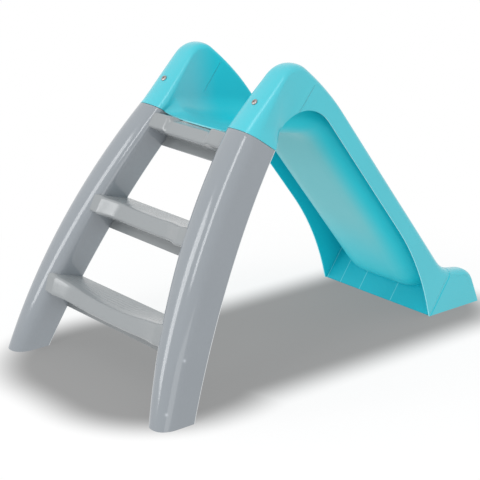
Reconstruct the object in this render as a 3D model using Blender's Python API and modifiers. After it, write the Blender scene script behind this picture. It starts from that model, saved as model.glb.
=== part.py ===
"""Kids slide: a moulded chute whose two ears are bolted over the tops of a splayed ladder.

Frame: +X is the sliding direction, +Y goes across, +Z is up, and the origin is on the floor
under the middle of the slide. Side-view points are (x, z) pairs, with x from the front of the
ladder feet. Every size is in metres, and every angle in degrees.
"""

import math

import bmesh
import bpy
from mathutils import Matrix, Vector

# Overall sizes
HEIGHT = 0.770
LENGTH = 1.231
WALL = 0.0035
FIT_GAP = 0.0003
GROUND_OVERLAP = 0.010

# Ladder sides: two bowed channels, open to the rear
FOOT_LEAN = 17.25
LEAN_RADIUS = 1.690
FOOT_DEPTH = 0.096
FOOT_HALF_OUTER = 0.350
FOOT_HALF_INNER = 0.276
SIDE_BOW_OUTER = 0.009
SIDE_BOW_INNER = 0.0075
SIDE_DEPTH_BOW = 0.005
CROWN_DEPTH_FOOT = 0.046
FRONT_FULLNESS = 2.3

# Seam between a ladder side and its ear
EAR_HEIGHT = 0.139
SEAM_HEIGHT = HEIGHT - EAR_HEIGHT
SEAM_DEPTH = 0.089
SEAM_TILT = 36.0
EAR_RISE = 45.0
SEAM_HALF_OUTER = 0.230
SEAM_HALF_INNER = 0.131
CROWN_DEPTH_SEAM = 0.036
INNER_CROWN_DEPTH_SEAM = 0.023
NECK_GAP = 0.0025
SEAM_GAP = 0.0010

# Treads, of which the upper one carries the chute's lip
UPPER_TREAD_DROP = 0.028
TREADS = {
    "lower_tread": {"height": 0.190, "setback": 0.024, "nose": 0.034, "depth": 0.103,
                    "fall": 0, "lip_drop": 0.068, "rise": 0.018, "rise_run": 0.200,
                    "rise_end": 1.3, "flare": 0.006},
    "middle_tread": {"height": 0.404, "setback": 0.031, "nose": 0.034, "depth": 0.107,
                     "fall": 0.013, "lip_drop": 0.054, "rise": 0.008, "rise_run": 0.150,
                     "rise_end": 1.3, "flare": 0.010},
    "upper_tread": {"height": SEAM_HEIGHT - UPPER_TREAD_DROP, "setback": 0.025,
                    "nose": 0.027, "depth": 0.073, "fall": 0.006, "lip_drop": 0.031,
                    "rise": 0.047, "rise_run": 0.038, "rise_end": 0.526, "flare": 0.002},
}
TREAD_END_DEPTH = 0.045
TREAD_CREST_RADIUS = 0.009
TREAD_NOSE_RADIUS = 0.007
TREAD_LIP = 0.021
TREAD_FLARE_RUN = 0.060
TREAD_NOSE_RISE_SHARE = 0.4
TREAD_FLARE_END = 1.3

# Chute crown line, from the seam over the ears and down to the nose
CREST_RADIUS = 0.060
SHOULDER_ANGLE = 39.0
SHOULDER_RUN = 0.150
SHOULDER_REACH = 0.0888
EAR_END = 0.12
RUNOUT_RAIL_HEIGHT = 0.1187
RUNOUT_RAIL_LENGTH = 0.1460
RUNOUT_RAIL_FALL = 10.0
RUNOUT_START = 0.6
RUNOUT_RADIUS = 0.120
NOSE_RADIUS = 0.045
NOSE_LEAN = 21.0

# Chute skirt, whose lower edge forms the arch behind the ladder
SKIRT_BAND = 0.0545
ARCH_RADIUS = 0.105
RUNOUT_LENGTH = 0.206
SKIRT_FOOT_X = LENGTH - RUNOUT_LENGTH
SKIRT_FOOT_LEAN = 15.0
SKIRT_FOOT_SHARE = 0.881
SKIRT_HALF = 0.2145

# Chute channel: inner walls, platform, bed and run-out
RAIL_HALF_INNER = 0.155
CROWN_DEPTH_RAIL = 0.017
CROWN_DEPTH_RUNOUT = 0.026
CROWN_DEPTH_NOSE = 0.008
LIP_STEP = -0.001
LIP_SETBACK = 0.031
LIP_SHARE = 0.75
PLATFORM_FALL = 10.0
PLATFORM_RADIUS = 0.090
BED_DEPTH = 0.069
BED_FLAT_HALF = 0.065
LIP_FLAT_HALF = 0.012
BED_TOP_SHARE = 0.3
BED_FOOT_SHARE = 0.6
RUNOUT_BED_HEIGHT = 0.046
RUNOUT_BED_RADIUS = 0.070
BED_END_RADIUS = 0.018
BED_SETBACK = 0.025
BED_FILLET_DEPTH = 0.055
MOST_FILLET_SHARE = 0.9

# Cross wall that closes the run-out from behind
CROSS_WALL_INSET = 0.005
CROSS_WALL_X = SKIRT_FOOT_X + CROSS_WALL_INSET
CROSS_WALL_LEAN = 35.0

# Bolts through the ears into the ladder necks
BOLT_RISE = 0.057
BOLT_HEIGHT = SEAM_HEIGHT + BOLT_RISE
SHANK_DIAMETER = 0.006
SHANK_LENGTH = 0.017
SHANK_CHAMFER = 0.001
HEAD_DIAMETER = 0.016
HEAD_HEIGHT = 0.0035
HEAD_FLAT_DIAMETER = 0.009
HEAD_SHOULDER = (0.90, 0.65)
HEAD_RIM = 0.20
SOCKET_ACROSS = 0.005
SOCKET_DEPTH = 0.002
WASHER_DIAMETER = 0.018
WASHER_THICKNESS = 0.0016
WASHER_GAP = 0.0008
NUT_ACROSS = 0.010
NUT_THICKNESS = 0.005

# Mesh resolution
CROWN_STEPS = 7
FILLET_STEPS = 6
SIDE_STATIONS = 12
NECK_SPAN = 4
TREAD_STATIONS = 12
SPAN_STATIONS = (13, 8, 11, 11)
ROUND_SIDES = 24
NOSE_ARC_STEPS = 4

CHUTE_COLOUR = (0.095, 0.510, 0.600)
LADDER_COLOUR = (0.350, 0.375, 0.405)
STEEL_COLOUR = (0.620, 0.600, 0.580)


def unit(angle):
    """Side-view direction at an angle above the horizontal."""
    return Vector((math.cos(math.radians(angle)), math.sin(math.radians(angle))))


def meet(point_a, angle_a, point_b, angle_b):
    """Point where two side-view lines cross."""
    dir_a, dir_b = unit(angle_a), unit(angle_b)
    gap = point_b - point_a
    along = (gap.x * dir_b.y - gap.y * dir_b.x) / (dir_a.x * dir_b.y - dir_a.y * dir_b.x)
    return point_a + along * dir_a


class Outline:
    """A side-view line with rounded corners, cut into spans at its marks."""

    def __init__(self, corners, marks, arc_steps=None):
        """Take (point, radius) corners and marks as (corner, where) pairs."""
        self.arc_steps = arc_steps
        self.points = []
        self.corner_starts = []
        self.corner_ends = []
        last = len(corners) - 1
        for index, (point, radius) in enumerate(corners):
            if index in (0, last) or radius <= 0:
                self._open_corner(point)
            else:
                self._round_corner(corners[index - 1][0], point, corners[index + 1][0], radius)
        self.lengths = [0.0]
        for before, after in zip(self.points, self.points[1:]):
            self.lengths.append(self.lengths[-1] + (after - before).length)
        self.marks = [self._mark(corner, where) for corner, where in marks]

    def _open_corner(self, point):
        self.corner_starts.append(len(self.points))
        self.corner_ends.append(len(self.points))
        self.points.append(point)

    def _round_corner(self, before, point, after, radius):
        into = (point - before).normalized()
        out = (after - point).normalized()
        turn = math.atan2(into.x * out.y - into.y * out.x, into.dot(out))
        tangent = radius * math.tan(abs(turn) / 2)
        start = point - tangent * into
        side = 1 if turn > 0 else -1
        normal = Vector((-into.y, into.x)) * side
        centre = start + radius * normal
        steps = self.arc_steps or max(2, math.ceil(abs(turn) / math.radians(4)))
        self.corner_starts.append(len(self.points))
        for step in range(steps + 1):
            spin = Matrix.Rotation(turn * step / steps, 2)
            self.points.append(centre + spin @ (start - centre))
        self.corner_ends.append(len(self.points) - 1)

    def _mark(self, corner, where):
        first = self.lengths[self.corner_starts[corner]]
        last = self.lengths[self.corner_ends[corner]]
        if where <= 1:
            return first + where * (last - first)
        following = self.lengths[self.corner_starts[corner + 1]]
        return last + (where - 1) * (following - last)

    def at_length(self, length):
        """Point at a distance along the outline."""
        for index in range(1, len(self.points)):
            if length <= self.lengths[index] or index == len(self.points) - 1:
                piece = self.lengths[index] - self.lengths[index - 1]
                share = (length - self.lengths[index - 1]) / piece
                return self.points[index - 1].lerp(self.points[index], min(max(share, 0), 1))
        return self.points[-1]

    def at(self, span, share):
        """Point at a share of the way through one span."""
        start, end = self.marks[span], self.marks[span + 1]
        return self.at_length(start + share * (end - start))


def ladder_front(height):
    """Side-view point on the bowed front line of the ladder."""
    lean = math.asin(math.sin(math.radians(FOOT_LEAN)) + height / LEAN_RADIUS)
    return Vector((LEAN_RADIUS * (math.cos(math.radians(FOOT_LEAN)) - math.cos(lean)), height))


def bowed_half(height, foot, seam, bow):
    """Half width of the ladder at a height, with the side's bow added."""
    share = height / SEAM_HEIGHT
    return foot + (seam - foot) * share + 4 * bow * share * (1 - share)


def half_outer(height):
    """Distance from the middle plane to a ladder side's outer face."""
    return bowed_half(height, FOOT_HALF_OUTER, SEAM_HALF_OUTER, SIDE_BOW_OUTER)


def half_inner(height):
    """Distance from the middle plane to a ladder side's inner face."""
    return bowed_half(height, FOOT_HALF_INNER, SEAM_HALF_INNER, -SIDE_BOW_INNER)


SEAM_FRONT = ladder_front(SEAM_HEIGHT)
SEAM_REAR = SEAM_FRONT + SEAM_DEPTH * unit(-SEAM_TILT)


def crest_corner():
    """Side-view corner that the ears' crest rounds off."""
    rise = math.radians(EAR_RISE)
    climb = (EAR_HEIGHT - CREST_RADIUS * (1 - math.cos(rise))) / math.sin(rise)
    centre = SEAM_FRONT + climb * unit(EAR_RISE) + CREST_RADIUS * unit(EAR_RISE - 90)
    half_turn = math.radians(EAR_RISE + SHOULDER_ANGLE) / 2
    middle = unit((EAR_RISE - SHOULDER_ANGLE) / 2 + 90)
    return centre + CREST_RADIUS / math.cos(half_turn) * middle


CREST = crest_corner()
SLOPE_TOP = CREST + SHOULDER_RUN * unit(-SHOULDER_ANGLE)
RUNOUT_CORNER = Vector((LENGTH - RUNOUT_RAIL_LENGTH, RUNOUT_RAIL_HEIGHT))
SLOPE_ANGLE = math.degrees(math.atan2(SLOPE_TOP.y - RUNOUT_CORNER.y,
                                      RUNOUT_CORNER.x - SLOPE_TOP.x))


def bend_radius(reach, angle_in, angle_out):
    """Radius of the arc that starts and ends at a distance from the corner of two lines."""
    return reach / math.tan(math.radians(abs(angle_out - angle_in)) / 2)


def crown_outline():
    """Top line of the ears and rails, seen from the side."""
    nose_foot = Vector((LENGTH, 0))
    nose = meet(nose_foot, 90 + NOSE_LEAN, RUNOUT_CORNER, -RUNOUT_RAIL_FALL)
    end = meet(nose_foot, 90 + NOSE_LEAN, Vector((0, -GROUND_OVERLAP)), 0)
    shoulder_radius = bend_radius(SHOULDER_REACH, SHOULDER_ANGLE, SLOPE_ANGLE)
    corners = [(SEAM_FRONT, 0), (CREST, CREST_RADIUS), (SLOPE_TOP, shoulder_radius),
               (RUNOUT_CORNER, RUNOUT_RADIUS), (nose, NOSE_RADIUS), (end, 0)]
    marks = [(0, 0), (2, EAR_END), (2, 1), (3, RUNOUT_START), (5, 0)]
    return Outline(corners, marks)


CROWN = crown_outline()


def slope_line(depth):
    """A point on the line that runs parallel to the slope, at a depth below the rail crown."""
    return SLOPE_TOP + depth * unit(-SLOPE_ANGLE - 90)


def skirt_outline():
    """Lower edge of the outer walls: seam, arch, foot and floor."""
    arch = meet(SEAM_REAR, EAR_RISE, slope_line(SKIRT_BAND), -SLOPE_ANGLE)
    foot = Vector((SKIRT_FOOT_X, 0))
    knee = meet(slope_line(SKIRT_BAND), -SLOPE_ANGLE, foot, 90 + SKIRT_FOOT_LEAN)
    below = Vector((0, -GROUND_OVERLAP))
    foot_end = meet(foot, 90 + SKIRT_FOOT_LEAN, below, 0)
    nose_end = Vector((LENGTH - NOSE_RADIUS / 2, -GROUND_OVERLAP))
    knee_radius = bend_radius(SKIRT_FOOT_SHARE * (foot - knee).length, SLOPE_ANGLE,
                              90 - SKIRT_FOOT_LEAN)
    corners = [(SEAM_REAR, 0), (arch, ARCH_RADIUS), (knee, knee_radius),
               (foot_end, 0), (nose_end, 0)]
    return Outline(corners, [(0, 0), (1, 0), (1, 1), (3, 0), (4, 0)])


def bed_outline():
    """Middle line of the lip, platform, bed and run-out."""
    lip = SEAM_FRONT + Vector((LIP_SETBACK, -UPPER_TREAD_DROP - LIP_STEP))
    bed_top = meet(lip, -PLATFORM_FALL, slope_line(BED_DEPTH), -SLOPE_ANGLE)
    level = Vector((0, RUNOUT_BED_HEIGHT))
    bed_foot = meet(slope_line(BED_DEPTH), -SLOPE_ANGLE, level, 0)
    nose_foot = Vector((LENGTH - BED_SETBACK, 0))
    bed_end = meet(nose_foot, 90 + NOSE_LEAN, level, 0)
    end = meet(nose_foot, 90 + NOSE_LEAN, Vector((0, -GROUND_OVERLAP)), 0)
    corners = [(lip, 0), (bed_top, PLATFORM_RADIUS), (bed_foot, RUNOUT_BED_RADIUS),
               (bed_end, BED_END_RADIUS), (end, 0)]
    marks = [(0, 0), (0, 1 + LIP_SHARE), (1, BED_TOP_SHARE), (2, BED_FOOT_SHARE), (4, 0)]
    return Outline(corners, marks)


SKIRT = skirt_outline()
BED = bed_outline()


def smooth_share(share):
    """Ease a 0 to 1 share at both ends."""
    return share * share * (3 - 2 * share)


def lerp(start, end, share):
    """Number at a share of the way between two others."""
    return start + (end - start) * share


class ChuteStation:
    """The widths and depths of the chute at one place along its crown."""

    def __init__(self, span, share):
        self.crown = CROWN.at(span, share)
        self.skirt = SKIRT.at(span, share)
        self.bed = BED.at(span, share)
        self.ear = smooth_share(share) if span == 0 else 1.0
        rail = CROWN_DEPTH_RAIL
        if span == 2:
            rail = lerp(CROWN_DEPTH_RAIL, CROWN_DEPTH_RUNOUT, smooth_share(share))
        elif span == 3:
            rail = lerp(CROWN_DEPTH_RUNOUT, CROWN_DEPTH_NOSE, smooth_share(share))
        self.crown_depth = lerp(CROWN_DEPTH_SEAM, rail, self.ear)
        self.inner_crown_depth = lerp(INNER_CROWN_DEPTH_SEAM, CROWN_DEPTH_RAIL, self.ear)
        self.flat_half = lerp(LIP_FLAT_HALF, BED_FLAT_HALF, min(1.0, 2 * self.ear))
        self.way = (self.skirt - self.crown).normalized()

    def outer(self, height):
        """Half width to the outer face."""
        return lerp(half_outer(min(height, SEAM_HEIGHT)), SKIRT_HALF, self.ear)

    def inner(self, height):
        """Half width to the inner face."""
        return lerp(half_inner(min(height, SEAM_HEIGHT)), RAIL_HALF_INNER, self.ear)

    def place(self, flat, across):
        """Point over a side-view point, at a share from the inner (0) to the outer face (1)."""
        outer, inner = self.outer(flat.y), self.inner(flat.y)
        return Vector((flat.x, lerp(inner, outer, across), flat.y))

    def half_section(self):
        """Points from the bed's middle over the rail to the skirt's lower edge."""
        points = [Vector((self.bed.x, 0, self.bed.y)),
                  Vector((self.bed.x, self.flat_half, self.bed.y))]
        inner_end = self.crown + self.inner_crown_depth * self.way
        to_bed = self.bed - inner_end
        drop = to_bed.length
        fillet = min(BED_FILLET_DEPTH, MOST_FILLET_SHARE * drop)
        for step in range(1, FILLET_STEPS + 1):
            angle = math.pi / 2 * step / FILLET_STEPS
            down = drop - fillet * (1 - math.cos(angle))
            place = self.place(inner_end + down / drop * to_bed, 0)
            place.y = lerp(self.flat_half, place.y, math.sin(angle))
            points.append(place)
        points.append(self.place(inner_end + 0.5 * (drop - fillet) / drop * to_bed, 0))
        for step in range(-CROWN_STEPS, CROWN_STEPS + 1):
            depth = self.inner_crown_depth if step < 0 else self.crown_depth
            down, across = crown_curve(step, depth, 0)
            points.append(self.place(self.crown + down * self.way, across))
        outer_end = self.crown + self.crown_depth * self.way
        for share in (0.5, 1.0):
            points.append(self.place(outer_end.lerp(self.skirt, share), 1))
        return points


def crown_curve(step, depth, inset):
    """Depth below the crown and share across it, at a step of its rounded line."""
    power = 2 / FRONT_FULLNESS
    angle = math.pi / 2 * step / CROWN_STEPS
    across = math.copysign(abs(math.sin(angle)) ** power, angle)
    return inset + (depth - inset) * (1 - math.cos(angle) ** power), 0.5 + 0.5 * across


class Builder:
    """Scene, collections and materials for the slide."""

    def __init__(self):
        for old in list(bpy.data.objects):
            bpy.data.objects.remove(old)
        self.parts = bpy.data.collections.new("kids_slide")
        self.cutters = bpy.data.collections.new("cutters")
        for collection in (self.parts, self.cutters):
            bpy.context.scene.collection.children.link(collection)
        self.frame = bpy.data.objects.new("slide_frame", None)
        self.frame.location.x = -LENGTH / 2
        self.parts.objects.link(self.frame)
        self.chute_plastic = self.material("chute_plastic", CHUTE_COLOUR, 0.30, 0.0)
        self.ladder_plastic = self.material("ladder_plastic", LADDER_COLOUR, 0.25, 0.0)
        self.steel = self.material("zinc_steel", STEEL_COLOUR, 0.35, 1.0)

    @staticmethod
    def material(name, colour, roughness, metallic):
        """Principled material of one plain finish."""
        material = bpy.data.materials.new(name)
        material.use_nodes = True
        shader = material.node_tree.nodes["Principled BSDF"]
        shader.inputs["Base Color"].default_value = (*colour, 1)
        shader.inputs["Roughness"].default_value = roughness
        shader.inputs["Metallic"].default_value = metallic
        return material

    def add(self, name, mesh, material):
        """Put a mesh in the parts collection under the slide's frame."""
        part = bpy.data.objects.new(name, mesh)
        self.parts.objects.link(part)
        part.parent = self.frame
        part.data.materials.append(material)
        mesh.shade_smooth()
        mesh.set_sharp_from_angle(angle=math.radians(35))
        return part

    def cutter(self, name, mesh):
        """Put a mesh in the cutters collection, out of renders."""
        tool = bpy.data.objects.new(name, mesh)
        self.cutters.objects.link(tool)
        tool.parent = self.frame
        tool.hide_render = True
        tool.display_type = "WIRE"
        return tool

    @staticmethod
    def cut(part, tool, operation="DIFFERENCE"):
        """Cut a part with a tool, or join the tool to it."""
        modifier = part.modifiers.new(tool.name, "BOOLEAN")
        modifier.object = tool
        modifier.operation = operation
        modifier.solver = "EXACT"


def loft(name, sections, closed=False):
    """Mesh through like sections: an open skin, or a closed solid with flat-strip ends.

    A skin faces outwards where (section direction) x (loft direction) does.
    """
    mesh = bpy.data.meshes.new(name)
    shape = bmesh.new()
    rows = [[shape.verts.new(point) for point in section] for section in sections]
    count = len(rows[0])
    for before, after in zip(rows, rows[1:]):
        for index in range(count if closed else count - 1):
            step = (index + 1) % count
            shape.faces.new((before[index], before[step], after[step], after[index]))
    if closed:
        for row in (rows[0], rows[-1]):
            for index in range(count // 2 - 1):
                last = count - 1 - index
                shape.faces.new((row[index], row[index + 1], row[last - 1], row[last]))
        bmesh.ops.recalc_face_normals(shape, faces=shape.faces)
    shape.to_mesh(mesh)
    shape.free()
    return mesh


def turned(name, profile):
    """Round mesh made by turning (radius, height) points about Z."""
    mesh = bpy.data.meshes.new(name)
    shape = bmesh.new()
    points = [shape.verts.new((radius, 0, height)) for radius, height in profile]
    edges = [shape.edges.new(pair) for pair in zip(points, points[1:])]
    bmesh.ops.spin(shape, geom=points + edges, axis=(0, 0, 1), cent=(0, 0, 0),
                   angle=math.tau, steps=ROUND_SIDES, use_merge=True)
    bmesh.ops.remove_doubles(shape, verts=shape.verts, dist=1e-6)
    bmesh.ops.recalc_face_normals(shape, faces=shape.faces)
    shape.to_mesh(mesh)
    shape.free()
    return mesh


def box_mesh(name, low, high):
    """Box between two corners."""
    mesh = bpy.data.meshes.new(name)
    shape = bmesh.new()
    bmesh.ops.create_cube(shape, size=1)
    size = high - low
    bmesh.ops.scale(shape, vec=size, verts=shape.verts)
    bmesh.ops.translate(shape, vec=(low + high) / 2, verts=shape.verts)
    shape.to_mesh(mesh)
    shape.free()
    return mesh


def prism_mesh(name, across, low, high, sides):
    """Regular prism along Z between two heights, measured across its flats."""
    mesh = bpy.data.meshes.new(name)
    shape = bmesh.new()
    radius = across / 2 / math.cos(math.pi / sides)
    bmesh.ops.create_cone(shape, cap_ends=True, segments=sides, radius1=radius,
                          radius2=radius, depth=high - low)
    bmesh.ops.translate(shape, vec=(0, 0, (low + high) / 2), verts=shape.verts)
    shape.to_mesh(mesh)
    shape.free()
    return mesh


def floor_cutter(build):
    """Block below the floor that trims everything flat."""
    margin = 0.1
    low = Vector((-margin, -FOOT_HALF_OUTER - margin, -margin))
    high = Vector((LENGTH + margin, FOOT_HALF_OUTER + margin, 0))
    return build.cutter("floor_cutter", box_mesh("floor_cutter", low, high))


def seam_cutter(build, name, side):
    """Block below the seam plane that trims one ear square."""
    margin = 0.02
    near, far = sorted((side * (SEAM_HALF_INNER - WALL), side * FOOT_HALF_OUTER))
    low = Vector((-margin, near, -margin))
    high = Vector((SEAM_DEPTH + margin / 2, far, FIT_GAP))
    cutter = build.cutter(name, box_mesh(name, low, high))
    cutter.location = (SEAM_FRONT.x, 0, SEAM_FRONT.y)
    cutter.rotation_euler.y = math.radians(SEAM_TILT)
    return cutter


def channel_section(front, way, depth, crowns, inset, widths):
    """Open D-shaped line: rear outer edge, rounded front, rear inner edge.

    The crowns are the depths of the rounding on the outer and on the inner half.
    """

    def place(down, across):
        flat = front + down * way
        outer, inner = widths(flat.y)
        return Vector((flat.x, lerp(inner + inset, outer - inset, across), flat.y))

    outer_crown, inner_crown = crowns
    points = [place(depth, 1), place(lerp(outer_crown, depth, 0.5), 1)]
    for step in range(CROWN_STEPS, -CROWN_STEPS - 1, -1):
        crown = outer_crown if step > 0 else inner_crown
        points.append(place(*crown_curve(step, crown, inset)))
    return points + [place(lerp(inner_crown, depth, 0.5), 0), place(depth, 0)]


def side_depth(height):
    """Depth of a ladder side from front to rear at a height."""
    share = height / SEAM_HEIGHT
    return lerp(FOOT_DEPTH, SEAM_DEPTH, share) + 4 * SIDE_DEPTH_BOW * share * (1 - share)


def side_tilt(height):
    """Angle at which a ladder side's sections drop to the rear."""
    return SEAM_TILT * height / SEAM_HEIGHT


def ladder_rear(height):
    """Side-view point on a ladder side's rear edge, at the end of one of its sections."""
    return ladder_front(height) + side_depth(height) * unit(-side_tilt(height))


def side_station(share, inset, more_depth):
    """Line around a ladder side at a share of the way from its foot to the seam."""
    height = lerp(-GROUND_OVERLAP, SEAM_HEIGHT - SEAM_GAP, share)
    crowns = [lerp(CROWN_DEPTH_FOOT, crown, share)
              for crown in (CROWN_DEPTH_SEAM, INNER_CROWN_DEPTH_SEAM)]
    return channel_section(ladder_front(height), unit(-side_tilt(height)),
                           side_depth(height) + more_depth, crowns, inset,
                           lambda z: (half_outer(z), half_inner(z)))


def neck_station(index, inset, more_depth):
    """Line around the neck, inside one of the ear's own stations."""
    station = ChuteStation(0, index / SPAN_STATIONS[0])
    depth = (station.skirt - station.crown).length + more_depth
    crowns = (station.crown_depth, station.inner_crown_depth)
    return channel_section(station.crown, station.way, depth, crowns, inset,
                           lambda z: (station.outer(z), station.inner(z)))


def side_rings(side_inset, neck_inset, more_depth=0):
    """Lines around a whole ladder side with its neck, from below the floor up."""
    rings = [side_station(index / SIDE_STATIONS, side_inset, more_depth)
             for index in range(SIDE_STATIONS + 1)]
    rings += [neck_station(index, neck_inset, more_depth) for index in range(NECK_SPAN + 1)]
    return rings


def mirrored(points, side):
    """A line on the +Y side (1), or its mirror image running the other way (-1)."""
    if side > 0:
        return points
    return [Vector((point.x, -point.y, point.z)) for point in reversed(points)]


def add_wall(part):
    """Give a skin its wall thickness, inwards."""
    wall = part.modifiers.new("wall", "SOLIDIFY")
    wall.thickness = WALL
    wall.offset = -1
    wall.use_even_offset = True


def ladder_side(build, name, side, floor, hole):
    """One bowed ladder side: a channel open to the rear, with a neck for the ear."""
    rings = side_rings(0, WALL + NECK_GAP)
    mesh = loft(name, [mirrored(ring, side) for ring in rings])
    part = build.add(name, mesh, build.ladder_plastic)
    add_wall(part)
    build.cut(part, floor)
    build.cut(part, hole)


def side_solid(build, name, side):
    """Full outer shape of a ladder side, drawn out to the rear, which trims the tread ends."""
    rings = [mirrored(ring, side) for ring in side_rings(-FIT_GAP, -FIT_GAP, TREAD_LIP)]
    return build.cutter(name, loft(name, rings, closed=True))


def end_share(across, inner, run, end):
    """How far a place across a tread has gone into the run at its end, squared for a soft start."""
    return min(max(0.0, abs(across) - (inner - run)) / run, end) ** 2


def tread_profile(size, across):
    """Open side-view line of a tread at a place across it: rear edge, top, nose and rear lip."""
    height = size["height"]
    inner = half_inner(height)
    rise = size["rise"] * end_share(across, inner, size["rise_run"], size["rise_end"])
    flare = size["flare"] * end_share(across, inner, TREAD_FLARE_RUN, TREAD_FLARE_END)
    setback = size["setback"] - flare
    front = ladder_front(height) + Vector((setback, 0))
    rear_top = ladder_front(height) + Vector((size["depth"], -size["fall"]))
    crest = front + Vector((0, rise))
    nose_low = ladder_front(height - size["nose"]) + Vector((setback,
                                                             TREAD_NOSE_RISE_SHARE * rise))
    lip_height = height - size["lip_drop"]
    rear_low, lip_low = [ladder_rear(place) - Vector((WALL, 0))
                         for place in (lip_height + TREAD_LIP, lip_height)]
    corners = [(rear_top, 0), (crest, TREAD_CREST_RADIUS), (nose_low, TREAD_NOSE_RADIUS),
               (rear_low, 0), (lip_low, 0)]
    return Outline(corners, [], NOSE_ARC_STEPS).points


def tread(build, name, size, trims):
    """One tread: a shell open to the rear, its front edge rising at both ends."""
    reach = half_inner(size["height"]) + TREAD_END_DEPTH
    sections = []
    for index in range(TREAD_STATIONS, -TREAD_STATIONS - 1, -1):
        across = reach * math.sin(math.pi / 2 * index / TREAD_STATIONS)
        sections.append([Vector((point.x, across, point.y))
                         for point in tread_profile(size, across)])
    part = build.add(name, loft(name, sections), build.ladder_plastic)
    add_wall(part)
    for trim in trims:
        build.cut(part, trim)


def chute_rows():
    """Half sections of the whole chute, from the seam to the nose."""
    rows = []
    for span, count in enumerate(SPAN_STATIONS):
        first = 0 if span == 0 else 1
        for index in range(first, count + 1):
            rows.append(ChuteStation(span, index / count).half_section())
    return rows


def cross_wall(build, rows):
    """Leaning plate under the run-out that fills the chute's own outline."""
    slope = math.tan(math.radians(CROSS_WALL_LEAN))

    def ahead(point):
        return point.x - CROSS_WALL_X - slope * point.z

    line = []
    for column in zip(*rows):
        for before, after in zip(column, column[1:]):
            if ahead(before) <= 0 < ahead(after):
                line.append(before.lerp(after, ahead(before) / (ahead(before) - ahead(after))))
                break
    low = -GROUND_OVERLAP
    line.append(Vector((CROSS_WALL_X + slope * low, SKIRT_HALF, low)))
    far_half = [Vector((point.x, -point.y, point.z)) for point in reversed(line[1:])]
    mesh = bpy.data.meshes.new("cross_wall")
    shape = bmesh.new()
    plate = shape.faces.new([shape.verts.new(point) for point in far_half + line])
    rim = bmesh.ops.inset_individual(shape, faces=[plate], thickness=WALL / 2,
                                     use_even_offset=True)
    bmesh.ops.delete(shape, geom=rim["faces"], context="FACES")
    shape.to_mesh(mesh)
    shape.free()
    tool = build.cutter("cross_wall", mesh)
    wall = tool.modifiers.new("wall", "SOLIDIFY")
    wall.thickness = WALL
    wall.offset = 0
    return tool


def chute(build, floor, holes):
    """The moulded chute with its two ears, as one shell."""
    rows = chute_rows()
    mesh = loft("chute", [row[::-1] for row in rows])
    part = build.add("chute", mesh, build.chute_plastic)
    whole = part.modifiers.new("both_halves", "MIRROR")
    whole.use_axis = (False, True, False)
    whole.use_clip = True
    whole.merge_threshold = 0.0001
    add_wall(part)
    for hole in holes:
        build.cut(part, hole)
    build.cut(part, cross_wall(build, rows), "UNION")
    build.cut(part, seam_cutter(build, "left_seam_cutter", 1))
    build.cut(part, seam_cutter(build, "right_seam_cutter", -1))
    build.cut(part, floor)


def bolt_seat(side):
    """Crown point of an ear at the bolt's height, on the +Y (1) or -Y (-1) side."""
    climb = (BOLT_HEIGHT - SEAM_HEIGHT) / math.sin(math.radians(EAR_RISE))
    station = ChuteStation(0, climb / (CROWN.marks[1] - CROWN.marks[0]))
    across = (station.outer(BOLT_HEIGHT) + station.inner(BOLT_HEIGHT)) / 2
    return Vector((station.crown.x, side * across, BOLT_HEIGHT))


def stand_on_seat(thing, seat, lift):
    """Turn a piece's Z axis square to the ear and lift it off the seat."""
    thing.rotation_euler.y = -math.radians(EAR_RISE)
    normal = unit(90 + EAR_RISE)
    thing.location = seat + lift * Vector((normal.x, 0, normal.y))


def bolt_hole(build, name, seat):
    """Cutter for the bolt's hole through the ear and the neck."""
    bore = SHANK_DIAMETER + 2 * FIT_GAP
    hole = build.cutter(name, prism_mesh(name, bore, -SHANK_LENGTH, WALL, ROUND_SIDES))
    stand_on_seat(hole, seat, 0)
    return hole


def bolt_set(build, word, seat):
    """One bolt with its washer and nut inside the neck."""
    head, shank = HEAD_DIAMETER / 2, SHANK_DIAMETER / 2
    profile = [(0, HEAD_HEIGHT), (HEAD_FLAT_DIAMETER / 2, HEAD_HEIGHT),
               (HEAD_SHOULDER[0] * head, HEAD_SHOULDER[1] * HEAD_HEIGHT),
               (head, HEAD_RIM * HEAD_HEIGHT), (head, 0),
               (shank, 0), (shank, SHANK_CHAMFER - SHANK_LENGTH),
               (shank - SHANK_CHAMFER, -SHANK_LENGTH), (0, -SHANK_LENGTH)]
    bolt = build.add(word + "_bolt", turned(word + "_bolt", profile), build.steel)
    socket = build.cutter(word + "_socket", prism_mesh(word + "_socket", SOCKET_ACROSS,
                          HEAD_HEIGHT - SOCKET_DEPTH, 2 * HEAD_HEIGHT, 6))
    stand_on_seat(bolt, seat, FIT_GAP)
    stand_on_seat(socket, seat, FIT_GAP)
    build.cut(bolt, socket)
    bore = shank + FIT_GAP
    top = -(2 * WALL + NECK_GAP + WASHER_GAP)
    low = top - WASHER_THICKNESS
    ring = [(bore, top), (WASHER_DIAMETER / 2, top), (WASHER_DIAMETER / 2, low), (bore, low),
            (bore, top)]
    washer = build.add(word + "_washer", turned(word + "_washer", ring), build.steel)
    stand_on_seat(washer, seat, 0)
    nut_top = low - FIT_GAP
    nut_mesh = prism_mesh(word + "_nut", NUT_ACROSS, nut_top - NUT_THICKNESS, nut_top, 6)
    nut = build.add(word + "_nut", nut_mesh, build.steel)
    thread = build.cutter(word + "_thread", prism_mesh(word + "_thread", 2 * bore,
                          -2 * SHANK_LENGTH, 0, ROUND_SIDES))
    stand_on_seat(nut, seat, 0)
    stand_on_seat(thread, seat, 0)
    build.cut(nut, thread)


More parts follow.
